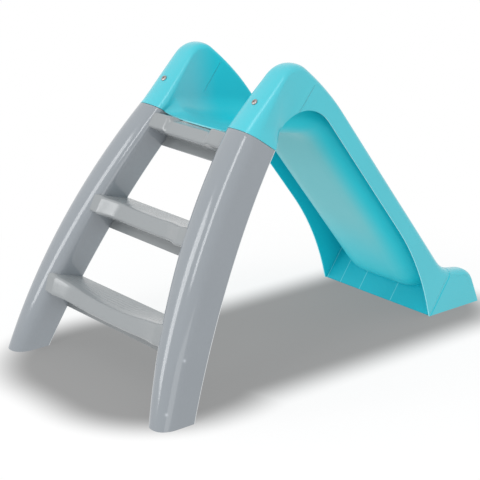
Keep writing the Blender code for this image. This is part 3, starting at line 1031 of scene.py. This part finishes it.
@dataclass(frozen=True)
class DotGlint:
    """A painted glint: a lighter colour on small round marks that the mould's pins left, in
    slide coordinates.
    """

    colour: tuple[float, float, float]
    places: tuple[tuple[float, float, float], ...]
    radius: float = 0.0034

    def cover(self, graph: Graph) -> Socket:
        """Spread the tint over the piece.

        Args:
            graph: The material's graph.

        Returns:
            How much of the tint lies on each place, from 0 to 1.
        """
        total: Value = 0.0
        for place in self.places:
            left, back, up = [axis - (middle + shift)
                              for axis, middle, shift in zip(graph.xyz(), place, TO_ROW)]
            reach = left * left + back * back + up * up
            total = graph.math("EXPONENT", -(reach / self.radius ** 2)) + total
        return total.clamped()


@dataclass(frozen=True)
class EdgeHighlight:
    """A painted highlight along the two long edges of a shell, at a share of its UV map's width.
    """

    colour: tuple[float, float, float]
    width: float

    def cover(self, graph: Graph) -> Socket:
        """Spread the tint over the piece.

        Args:
            graph: The material's graph.

        Returns:
            How much of the tint lies on each place, from 0 to 1.
        """
        across = graph.across_skin()
        inwards = graph.math("MINIMUM", across, 1 - across)
        return (2 - inwards / (self.width / 2)).clamped()


@dataclass(frozen=True)
class GlossPlastic:
    """Blow-moulded plastic: glossy, faintly wavy, with a fine grain."""

    name: str
    colour: tuple[float, float, float]
    roughness: float = 0.20
    coat: float = 0.25
    grain: float = 0.000006
    wave: float = 0.00022
    wave_scale: float = 14.0
    grain_scale: float = 1400.0
    mottle: float = 0.04
    mottle_scale: float = 6.0
    rough_scale: float = 45.0
    rough_spread: float = 0.08
    specular: float = 0.5
    coat_roughness: float = 0.06
    tints: tuple[Union[Tint, LineHighlight, DotGlint, EdgeHighlight], ...] = ()
    matt_tints: bool = False

    def make(self, reliefs: Iterable[Relief] = ()) -> bpy.types.Material:
        """Make the material.

        Args:
            reliefs: Lines that stand on this piece's surface.

        Returns:
            The new material.
        """
        material = bpy.data.materials.new(self.name)
        material.use_nodes = True
        graph = Graph(material.node_tree)
        cloud = graph.noise(self.mottle_scale, 3.0)
        dark = tuple(channel * (1 - self.mottle) for channel in self.colour) + (1,)
        light = tuple(min(channel * (1 + self.mottle), 1.0) for channel in self.colour) + (1,)
        colour = graph.mix_colour(cloud, dark, light)
        coat: Value = self.coat
        # Each tint paints shade or a highlight over the colour; with matt_tints the coat is
        # taken away under it.
        for tint in self.tints:
            cover = tint.cover(graph)
            colour = graph.mix_colour(cover, colour, tint.colour + (1,))
            if self.matt_tints:
                coat = coat * (1 - cover)
        rough = self.roughness + (graph.noise(self.rough_scale, 4.0) - 0.5) * self.rough_spread
        relief = graph.noise(self.grain_scale, 1.0) * self.grain
        relief = relief + graph.noise(self.wave_scale, 1.0) * self.wave
        for line in reliefs:
            relief = relief + line.relief(graph)
        bump = graph.node("ShaderNodeBump", inputs={"Strength": 1.0, "Distance": 1.0,
                                                    "Height": relief})
        shader = graph.node("ShaderNodeBsdfPrincipled", inputs={
            "Base Color": colour, "Roughness": rough, "IOR": 1.5, "Coat Weight": coat,
            "Coat Roughness": self.coat_roughness, "Specular IOR Level": self.specular,
            "Normal": graph.out(bump)})
        graph.node("ShaderNodeOutputMaterial", inputs={"Surface": graph.out(shader)})
        return material


@dataclass(frozen=True)
class ZincSteel:
    """Zinc-plated steel with a cloudy passivation."""

    name: str = "zinc_steel"
    colour: tuple[float, float, float] = (0.52, 0.48, 0.47)
    stain: tuple[float, float, float] = (0.22, 0.18, 0.17)
    stain_scale: float = 320.0
    roughness: float = 0.34
    rough_scale: float = 900.0
    rough_spread: float = 0.2
    grain: float = 0.00003
    grain_scale: float = 2600.0

    def make(self) -> bpy.types.Material:
        """Make the material.

        Returns:
            The new material.
        """
        material = bpy.data.materials.new(self.name)
        material.use_nodes = True
        graph = Graph(material.node_tree)
        cloud = graph.noise(self.stain_scale, 4.0)
        colour = graph.mix_colour(cloud, self.stain + (1,), self.colour + (1,))
        rough = self.roughness + (graph.noise(self.rough_scale, 3.0) - 0.5) * self.rough_spread
        bump = graph.node("ShaderNodeBump", inputs={
            "Strength": 1.0, "Distance": 1.0,
            "Height": graph.noise(self.grain_scale, 2.0) * self.grain})
        shader = graph.node("ShaderNodeBsdfPrincipled", inputs={
            "Base Color": colour, "Roughness": rough, "Metallic": 1.0,
            "Normal": graph.out(bump)})
        graph.node("ShaderNodeOutputMaterial", inputs={"Surface": graph.out(shader)})
        return material


@dataclass
class LadderSide:
    """One bowed ladder side with the neck that the ear covers."""

    side: Side
    form: ChuteForm
    seam_gap: float = 0.0010
    neck_gap: float = 0.0025
    stations: int = 70
    neck_stations: int = 12
    neck_share: float = 4 / 13

    def rows(self) -> list[Section]:
        """Draw the lines around the side.

        Returns:
            The lines, from below the floor to the neck's end.
        """
        ladder = self.form.ladder
        top = ladder.seam_height - self.seam_gap
        rows = []
        for index in range(self.stations + 1):
            share = index / self.stations
            rows.append(ladder.station(lerp(-GROUND_OVERLAP, top, share), share))
        for index in range(self.neck_stations + 1):
            station = self.form.station(0, self.neck_share * index / self.neck_stations)
            depth = (station.skirt - station.crown).length
            rows.append(ladder.section(station.crown, station.way, depth,
                                       (station.outer_crown, station.inner_crown),
                                       WALL + self.neck_gap, station.widths))
        return rows

    def build(self, finish: Finish) -> bpy.types.Object:
        """Model the side and dress it.

        Args:
            finish: Materials of the side.

        Returns:
            The finished side.
        """
        rows = [mirrored(row, self.side) for row in self.rows()]
        piece = Shell(f"{self.side.word}_ladder_side_shell", rows).build(finish)
        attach(piece, "root")
        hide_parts(f"{self.side.word}_ladder_side")
        return piece


@dataclass
class Tread:
    """A tread: a shell open to the rear, whose front edge rises at both ends."""

    name: str
    ladder: LadderForm
    height: float
    setback: float
    nose: float
    depth: float
    fall: float
    lip_at: float
    rise: float
    rise_run: float
    flare: float
    flare_run: float = 0.060
    crest_radius: float = 0.009
    nose_radius: float = 0.007
    lip: float = 0.021
    nose_rise_share: float = 0.4
    rise_end: float = 1.3
    flare_end: float = 1.3
    into_side: float = 0.0010
    stations: int = 70
    counts: tuple[int, ...] = (14, 8, 5, 8, 12, 6)

    def end_share(self, across: float, run: float, end: float) -> float:
        """Find how far a place has gone into the run at the tread's end.

        Args:
            across: Distance of the place from the middle plane.
            run: Length of the run, up to the ladder side.
            end: Share of the run at which the rise stops.

        Returns:
            The share, squared, and eased where it stops inside the run.
        """
        inner = self.ladder.inner(self.height)
        share = min(max(0.0, abs(across) - (inner - run)) / run, end)
        return end ** 2 * smooth_share(share / end) if end < 1 else share ** 2

    def profile(self, across: float) -> Outline:
        """Draw the tread's line at a place across it.

        Args:
            across: Distance of the place from the middle plane.

        Returns:
            The side-view line.
        """
        ladder, height = self.ladder, self.height
        rise = self.rise * self.end_share(across, self.rise_run, self.rise_end)
        flare = self.flare * self.end_share(across, self.flare_run, self.flare_end)
        setback = Vector((self.setback - flare, 0))
        rear_top = ladder.front(height) + Vector((self.depth, -self.fall))
        crest = ladder.front(height) + setback + Vector((0, rise))
        nose_low = ladder.front(height - self.nose) + setback
        nose_low.y += self.nose_rise_share * rise
        rear_low, lip_low = [ladder.rear(place) - Vector((WALL, 0))
                             for place in (self.lip_at + self.lip, self.lip_at)]
        corners = [(rear_top, 0), (crest, self.crest_radius), (nose_low, self.nose_radius),
                   (rear_low, 0), (lip_low, 0)]
        return Outline(corners, [(0, 0), (1, 0), (1, 1), (2, 0), (2, 1), (3, 0), (4, 0)], 8)

    def rows(self) -> list[Section]:
        """Draw the tread's profiles.

        Returns:
            The profiles, from the left end to the right end.
        """
        reach = (self.ladder.inner(self.height) + self.ladder.outer(self.height)) / 2
        rows = []
        for index in range(self.stations, -self.stations - 1, -1):
            share = math.sin(math.pi / 2 * index / self.stations)
            rows.append([
                Vector((flat.x, share * (self.ladder.inner_limit(flat) + self.into_side),
                        flat.y))
                for flat in self.profile(share * reach).along(self.counts)])
        return rows

    def build(self, finish: Finish) -> bpy.types.Object:
        """Model the tread and dress it.

        Args:
            finish: Materials of the tread.

        Returns:
            The finished tread.
        """
        piece = Shell(f"{self.name}_shell", self.rows()).build(finish)
        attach(piece, "root")
        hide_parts(self.name)
        return piece


@dataclass
class Chute:
    """The moulded chute with its two ears, and the plate that closes its run-out."""

    form: ChuteForm
    span_stations: tuple[int, ...] = (56, 20, 26, 52)
    cross_wall_x: float = 1.030
    cross_wall_lean: float = 35.0

    def half_rows(self) -> list[Section]:
        """Draw the half sections of the whole chute.

        Returns:
            The sections, from the seam to the nose.
        """
        rows = []
        for span, count in enumerate(self.span_stations):
            for index in range(0 if span == 0 else 1, count + 1):
                rows.append(self.form.station(span, index / count).half_section())
        return rows

    def shell(self, finish: Finish) -> bpy.types.Object:
        """Model the chute's wall and dress it.

        Args:
            finish: Materials of the wall.

        Returns:
            The finished shell.
        """
        rows = []
        for half in self.half_rows():
            rows.append(half[::-1] + reflected(half[1:]))
        piece = Shell("chute_shell", rows).build(finish)
        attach(piece, "root")
        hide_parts("chute")
        return piece

    def cross_wall(self, finish: bpy.types.Material) -> bpy.types.Object:
        """Model the leaning plate under the run-out and dress it.

        Args:
            finish: Material of the plate.

        Returns:
            The finished plate.
        """
        slope = math.tan(math.radians(self.cross_wall_lean))

        def ahead(point: Vector) -> float:
            """Distance of a point in front of the plate's plane."""
            return point.x - self.cross_wall_x - slope * point.z

        line = []
        for column in zip(*self.half_rows()):
            for before, after in zip(column, column[1:]):
                if ahead(before) <= 0 < ahead(after):
                    share = ahead(before) / (ahead(before) - ahead(after))
                    line.append(before.lerp(after, share))
                    break
        line.append(Vector((self.cross_wall_x, self.form.skirt_half, 0)))
        outline = reflected(reversed(line[1:])) + line
        shape = bmesh.new()
        plate = shape.faces.new([shape.verts.new(point + TO_ROW) for point in outline])
        rim = bmesh.ops.inset_individual(shape, faces=[plate], thickness=WALL / 2,
                                         use_even_offset=True)
        bmesh.ops.delete(shape, geom=rim["faces"], context="FACES")
        blank = show("cross_wall", to_mesh("cross_wall", shape))
        wall = blank.modifiers.new("wall", "SOLIDIFY")
        wall.thickness = WALL
        wall.offset = 0
        mesh = bake(blank)
        shape = bmesh.new()
        shape.from_mesh(mesh)
        bmesh.ops.recalc_face_normals(shape, faces=shape.faces)
        cut_on_floor(shape)
        shape.to_mesh(mesh)
        shape.free()
        piece = show("cross_wall", mesh)
        piece.data.materials.append(finish)
        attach(piece, "root")
        return piece


@dataclass
class Bolt:
    """One button-head bolt through an ear."""

    side: Side
    form: ChuteForm
    height: float = 0.688
    shank: float = 0.006
    shank_length: float = 0.017
    chamfer: float = 0.001
    head: float = 0.016
    head_height: float = 0.0035
    head_flat: float = 0.009
    shoulder: tuple[float, float] = (0.90, 0.65)
    rim: float = 0.20
    socket: float = 0.005
    socket_depth: float = 0.002
    edge_round: float = 0.00025
    edge_segments: int = 2
    edge_angle: float = 30.0
    lift: float = 0.0003
    sides: int = 48

    def seat(self) -> Matrix:
        """Find the bolt's place, square to the ear.

        Returns:
            The move from the bolt's own axes to the row frame.
        """
        ladder = self.form.ladder
        climb = (self.height - ladder.seam_height) / math.sin(math.radians(self.form.ear_rise))
        share = climb / (self.form.crown.places[1] - self.form.crown.places[0])
        station = self.form.station(0, share)
        across = sum(station.widths(self.height)) / 2
        normal = unit(90 + self.form.ear_rise)
        place = Vector((station.crown.x, self.side.value * across, self.height)) + TO_ROW
        place += self.lift * Vector((normal.x, 0, normal.y))
        turn = Matrix.Rotation(-math.radians(self.form.ear_rise), 4, "Y")
        return Matrix.Translation(place) @ turn

    def turned(self) -> bmesh.types.BMesh:
        """Turn the bolt's profile about its axis.

        Returns:
            The closed shape, with its seat at the origin.
        """
        head, shank = self.head / 2, self.shank / 2
        profile = [(0, self.head_height), (self.head_flat / 2, self.head_height),
                   (self.shoulder[0] * head, self.shoulder[1] * self.head_height),
                   (head, self.rim * self.head_height), (head, 0), (shank, 0),
                   (shank, self.chamfer - self.shank_length),
                   (shank - self.chamfer, -self.shank_length), (0, -self.shank_length)]
        shape = bmesh.new()
        points = [shape.verts.new((radius, 0, height)) for radius, height in profile]
        edges = [shape.edges.new(pair) for pair in zip(points, points[1:])]
        bmesh.ops.spin(shape, geom=points + edges, axis=(0, 0, 1), cent=(0, 0, 0),
                       angle=math.tau, steps=self.sides, use_merge=True)
        bmesh.ops.remove_doubles(shape, verts=shape.verts, dist=MERGE_DISTANCE)
        bmesh.ops.recalc_face_normals(shape, faces=shape.faces)
        return shape

    def build(self, finish: bpy.types.Material) -> bpy.types.Object:
        """Model the bolt with its hexagon socket and dress it.

        Args:
            finish: Material of the bolt.

        Returns:
            The finished bolt.
        """
        name = f"{self.side.word}_bolt_turned"
        blank = show(name, to_mesh(name, self.turned()))
        shape = bmesh.new()
        radius = self.socket / 2 / math.cos(math.pi / 6)
        bmesh.ops.create_cone(shape, cap_ends=True, segments=6, radius1=radius, radius2=radius,
                              depth=2 * self.socket_depth)
        bmesh.ops.translate(shape, vec=(0, 0, self.head_height), verts=shape.verts)
        tool = show("socket_tool", to_mesh("socket_tool", shape))
        socket = blank.modifiers.new("socket", "BOOLEAN")
        socket.object = tool
        socket.solver = "EXACT"
        edge = blank.modifiers.new("edge", "BEVEL")
        edge.width = self.edge_round
        edge.segments = self.edge_segments
        edge.limit_method = "ANGLE"
        edge.angle_limit = math.radians(self.edge_angle)
        mesh = bake(blank)
        bpy.data.objects.remove(tool)
        mesh.transform(self.seat())
        smooth(mesh)
        mesh.name = name
        piece = show(name, mesh)
        piece.data.materials.clear()
        piece.data.materials.append(finish)
        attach(piece, "root")
        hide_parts(f"{self.side.word}_bolt")
        return piece


@dataclass(frozen=True)
class Softbox:
    """A rectangular studio lamp that faces the slide."""

    name: str
    place: tuple[float, float, float]
    aim: tuple[float, float, float]
    size: tuple[float, float]
    power: float
    glint_only: bool = False

    def build(self) -> bpy.types.Object:
        """Hang the lamp.

        Returns:
            The lamp.
        """
        light = bpy.data.lights.new(self.name, "AREA")
        light.shape = "RECTANGLE"
        light.size, light.size_y = self.size
        light.energy = self.power
        lamp = bpy.data.objects.new(self.name, light)
        lamp.location = self.place
        away = Vector(self.place) - Vector(self.aim)
        lamp.rotation_euler = away.to_track_quat("Z", "Y").to_euler()
        lamp.visible_camera = False
        lamp.visible_diffuse = not self.glint_only
        bpy.context.scene.collection.objects.link(lamp)
        return lamp


@dataclass(frozen=True)
class Shade:
    """A soft patch of shade on the floor, a box with round corners in slide coordinates."""

    middle: tuple[float, float]
    half: tuple[float, float]
    corner: float
    softness: float = 0.075

    def cover(self, graph: Graph) -> Socket:
        """How far each place of the floor lies in the patch.

        Args:
            graph: The floor material's graph.

        Returns:
            1 well inside the patch, 0 well outside it.
        """
        x, y, _ = graph.xyz()
        beyond = []
        for place, middle, half in ((x, self.middle[0] + TO_ROW.x, self.half[0]),
                                    (y, self.middle[1], self.half[1])):
            past = graph.math("ABSOLUTE", place - middle) - (half - self.corner)
            beyond.append(past)
        outside = [graph.math("MAXIMUM", past, 0.0) for past in beyond]
        inside = graph.math("MINIMUM", graph.math("MAXIMUM", *beyond), 0.0)
        edge = (outside[0] ** 2.0 + outside[1] ** 2.0) ** 0.5 + inside - self.corner
        share = graph.node("ShaderNodeMapRange", {"interpolation_type": "SMOOTHSTEP"}, {
            "Value": edge, "From Min": -self.softness, "From Max": self.softness,
            "To Min": 1.0, "To Max": 0.0})
        return graph.out(share)


@dataclass
class Studio:
    """Camera, floor, background and lamps."""

    camera_place: tuple[float, float, float] = (-2.3985, -2.797, 1.4545)
    camera_turn: tuple[float, float, float] = (71.95, 0.0, -39.47)
    lens: float = 109.2
    sensor: float = 36.0
    floor_size: float = 40.0
    floor_cells: int = 8
    ambient: float = 1.0
    floor_colour: float = 0.90
    bounce: float = 0.95
    shade_level: float = 0.335
    evenness: float = 0.75
    fade: tuple[float, float] = (0.85, 1.15)
    shades: tuple[Shade, ...] = (Shade((0.190, 0.0), (0.300, 0.365), 0.28),
                                 Shade((0.640, -0.060), (0.600, 0.280), 0.16))
    lamps: tuple[Softbox, ...] = (
        Softbox("key_lamp", (-2.2, -0.6, 2.8), (0, 0, 0.3), (0.6, 2.0), 20.0),
        Softbox("side_lamp", (-3.0, 1.4, 1.6), (-0.2, 0, 0.3), (0.40, 2.4), 12.0),
        Softbox("side_glint", (-3.0, 1.4, 1.6), (-0.2, 0, 0.3), (1.00, 2.4), 34.0,
                glint_only=True),
        Softbox("fill_lamp", (-1.6, -3.2, 0.7), (0.2, 0, 0.3), (2.0, 1.2), 10.0),
    )

    def camera(self) -> None:
        """Place the camera at the photograph's viewing angle."""
        data = bpy.data.cameras.new("photo_camera")
        data.sensor_width = self.sensor
        data.lens = self.lens
        camera = bpy.data.objects.new("photo_camera", data)
        camera.location = self.camera_place
        camera.rotation_euler = [math.radians(angle) for angle in self.camera_turn]
        bpy.context.scene.collection.objects.link(camera)
        bpy.context.scene.camera = camera

    def background(self) -> None:
        """White background that lights the slide at a plain level."""
        world = bpy.data.worlds.new("studio_white")
        bpy.context.scene.world = world
        world.use_nodes = True
        graph = Graph(world.node_tree)
        path = graph.node("ShaderNodeLightPath")
        seen = graph.math("MAXIMUM", graph.out(path, "Is Camera Ray"), graph.math(
            "MAXIMUM", graph.out(path, "Is Glossy Ray"), graph.out(path, "Is Transmission Ray")))
        dim = graph.node("ShaderNodeBackground", inputs={
            "Color": WHITE, "Strength": self.ambient})
        white = graph.node("ShaderNodeBackground", inputs={
            "Color": WHITE, "Strength": 1.0})
        mix = graph.node("ShaderNodeMixShader", inputs={
            0: seen, 1: graph.out(dim), 2: graph.out(white)})
        graph.node("ShaderNodeOutputWorld", inputs={"Surface": graph.out(mix)})

    def floor(self) -> None:
        """Pale floor that keeps the slide's shadow faintly under a painted patch of shade, and
        fades into the background.
        """
        shape = bmesh.new()
        bmesh.ops.create_grid(shape, x_segments=self.floor_cells,
                              y_segments=self.floor_cells, size=self.floor_size / 2)
        floor = show("studio_floor", to_mesh("studio_floor", shape))
        material = bpy.data.materials.new("floor_white")
        material.use_nodes = True
        graph = Graph(material.node_tree)
        x, y, _ = graph.xyz()
        away = (x * x + y * y) ** 0.5
        start, end = self.fade
        far = ((away - start) / (end - start)).clamped()
        # Painted shade: a grey patch on the floor under the slide.
        cover = graph.math("MAXIMUM", *[shade.cover(graph) for shade in self.shades])
        seen = graph.out(graph.node("ShaderNodeLightPath"), "Is Camera Ray")
        white, pale, grey = [(level, level, level, 1)
                             for level in (1.0, self.floor_colour, self.shade_level)]
        matt = graph.node("ShaderNodeBsdfDiffuse", inputs={
            "Color": graph.mix_colour(cover, pale, grey)})
        even = graph.node("ShaderNodeEmission", inputs={
            "Color": graph.mix_colour(cover, white, grey), "Strength": 1.0})
        bounce = graph.node("ShaderNodeEmission", inputs={"Strength": self.bounce})
        share = self.evenness + (1 - self.evenness) * far
        mix = graph.node("ShaderNodeMixShader", inputs={
            0: share, 1: graph.out(matt), 2: graph.out(even)})
        mix = graph.node("ShaderNodeMixShader", inputs={
            0: seen, 1: graph.out(bounce), 2: graph.out(mix)})
        graph.node("ShaderNodeOutputMaterial", inputs={"Surface": graph.out(mix)})
        floor.data.materials.append(material)

    def build(self) -> None:
        """Set up the whole studio."""
        self.camera()
        self.background()
        self.floor()
        for lamp in self.lamps:
            lamp.build()
        bpy.context.scene.view_settings.view_transform = "Standard"


# Painted shade: a deeper turquoise, without the coat's sheen, where the chute lies in shade.
PAINTED_SHADE_TURQUOISE = (0.010, 0.530, 0.630)
# Painted reflection: a paler turquoise for the white floor's sheen on the chute's inside.
PAINTED_REFLECTION_TURQUOISE = (0.140, 0.540, 0.590)
# The tint paints shade on the chute's face inside the rails from the ears on, and takes its coat
# away there.
CHUTE_PLASTIC = GlossPlastic("chute_plastic", (0.054, 0.492, 0.577), roughness=0.36, coat=0.90,
                             wave=0.00012, specular=0.15, coat_roughness=0.24,
                             matt_tints=True, tints=(
                                 Tint(PAINTED_SHADE_TURQUOISE, 0, 0.460, 0.580, to_half=0.172),))
# Inside the chute: painted reflection of the floor in the middle, painted shade towards the
# walls and lower down.
CHUTE_INSIDE = GlossPlastic("chute_inside", PAINTED_REFLECTION_TURQUOISE, roughness=0.42, coat=0.0,
                            specular=0.2, tints=(
                                Tint(PAINTED_SHADE_TURQUOISE, 1, 0.085, 0.150, both_sides=True),
                                Tint(PAINTED_SHADE_TURQUOISE, 2, 0.300, 0.090, most=0.75)))
# Painted highlight: lighter thin lines on the cross wall.
CROSS_WALL_PLASTIC = GlossPlastic(
    "cross_wall", (0.006, 0.480, 0.590), roughness=0.42, coat=0.0, specular=0.2,
    tints=(LineHighlight((0.140, 0.650, 0.730), (-0.056, 0.070, 0.150, 0.206)),))
# Painted highlight: a paler turquoise on the chute's free edges.
CHUTE_EDGE_HIGHLIGHT = GlossPlastic("chute_edge_highlight", (0.240, 0.720, 0.800), roughness=0.35)
# The ladder sides get a painted highlight along their long edges and painted glints on two small
# marks.
LADDER_PLASTIC = GlossPlastic("ladder_plastic", (0.250, 0.275, 0.300), roughness=0.13,
                              wave=0.00004, tints=(
                                  EdgeHighlight((0.80, 0.82, 0.83), 0.006),
                                  # Painted glints on two small marks of the right ladder side.
                                  DotGlint((0.46, 0.49, 0.53), ((0.087, -0.325, 0.153),
                                                               (0.025, -0.336, 0.039)))))
TREAD_PLASTIC = GlossPlastic("tread_plastic", (0.270, 0.288, 0.298), roughness=0.19,
                             wave=0.00004, coat=0.12, coat_roughness=0.12)
# Painted highlight: a paler grey on the free edges of the ladder sides and treads.
LADDER_EDGE_HIGHLIGHT = GlossPlastic("ladder_edge_highlight", (0.520, 0.545, 0.570), roughness=0.25)

EAR_CREASE = MouldLine((0.5225, 0.643), (0.5825, 0.716), half_width=0.0017, height=0.0018,
                       from_half=0.10)
FOOT_LINE = MouldLine((1.028, 0.006), (1.094, 0.105), half_width=0.0014, height=-0.0010,
                      from_half=0.205)
RUNOUT_LINES = (
    MouldLine((1.088, 0.110), (1.126, 0.096), half_width=0.0022, height=-0.0012,
              from_half=0.190),
    MouldLine((1.122, 0.096), (1.196, 0.084), half_width=0.0022, height=-0.0012,
              from_half=0.190))


def main() -> None:
    """Build every piece of the slide and its studio."""
    logging.basicConfig(level=logging.INFO, format="%(name)s: %(message)s")
    form = ChuteForm()
    ladder = form.ladder
    steel = ZincSteel().make()
    grey = LADDER_PLASTIC.make()
    painted_edge_highlight = LADDER_EDGE_HIGHLIGHT.make()
    side_finish = Finish(grey, grey, painted_edge_highlight)
    tread_grey = TREAD_PLASTIC.make([Streaks((0.03, 0.065, 0.10, 0.135, 0.17, 0.205))])
    tread_finish = Finish(tread_grey, tread_grey, painted_edge_highlight)
    chute = Chute(form)
    turquoise = CHUTE_PLASTIC.make([EAR_CREASE, FOOT_LINE, *RUNOUT_LINES])
    pieces = [chute.shell(Finish(turquoise, CHUTE_INSIDE.make(), CHUTE_EDGE_HIGHLIGHT.make())),
              chute.cross_wall(CROSS_WALL_PLASTIC.make())]
    for side in Side:
        pieces.append(LadderSide(side, form).build(side_finish))
        pieces.append(Bolt(side, form).build(steel))
        for thing in ("washer", "nut"):
            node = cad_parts[f"{side.word}_{thing}"]
            node.data.materials.clear()
            node.data.materials.append(steel)
    for tread in (
            Tread("lower_tread", ladder, height=0.190, setback=0.024, nose=0.034, depth=0.103,
                  fall=0.0, lip_at=0.122, rise=0.018, rise_run=0.200, flare=0.006),
            Tread("middle_tread", ladder, height=0.404, setback=0.031, nose=0.034, depth=0.107,
                  fall=0.013, lip_at=0.350, rise=0.008, rise_run=0.150, flare=0.010),
            Tread("upper_tread", ladder, height=0.603, setback=0.025, nose=0.027, depth=0.073,
                  fall=0.006, lip_at=0.572, rise=0.047, rise_run=0.038, flare=0.002,
                  rise_end=0.526)):
        pieces.append(tread.build(tread_finish))
    for piece in pieces:
        LOG.info("%s: %d faces", piece.name, len(piece.data.polygons))
    Studio().build()


if __name__ == "__main__":
    main()
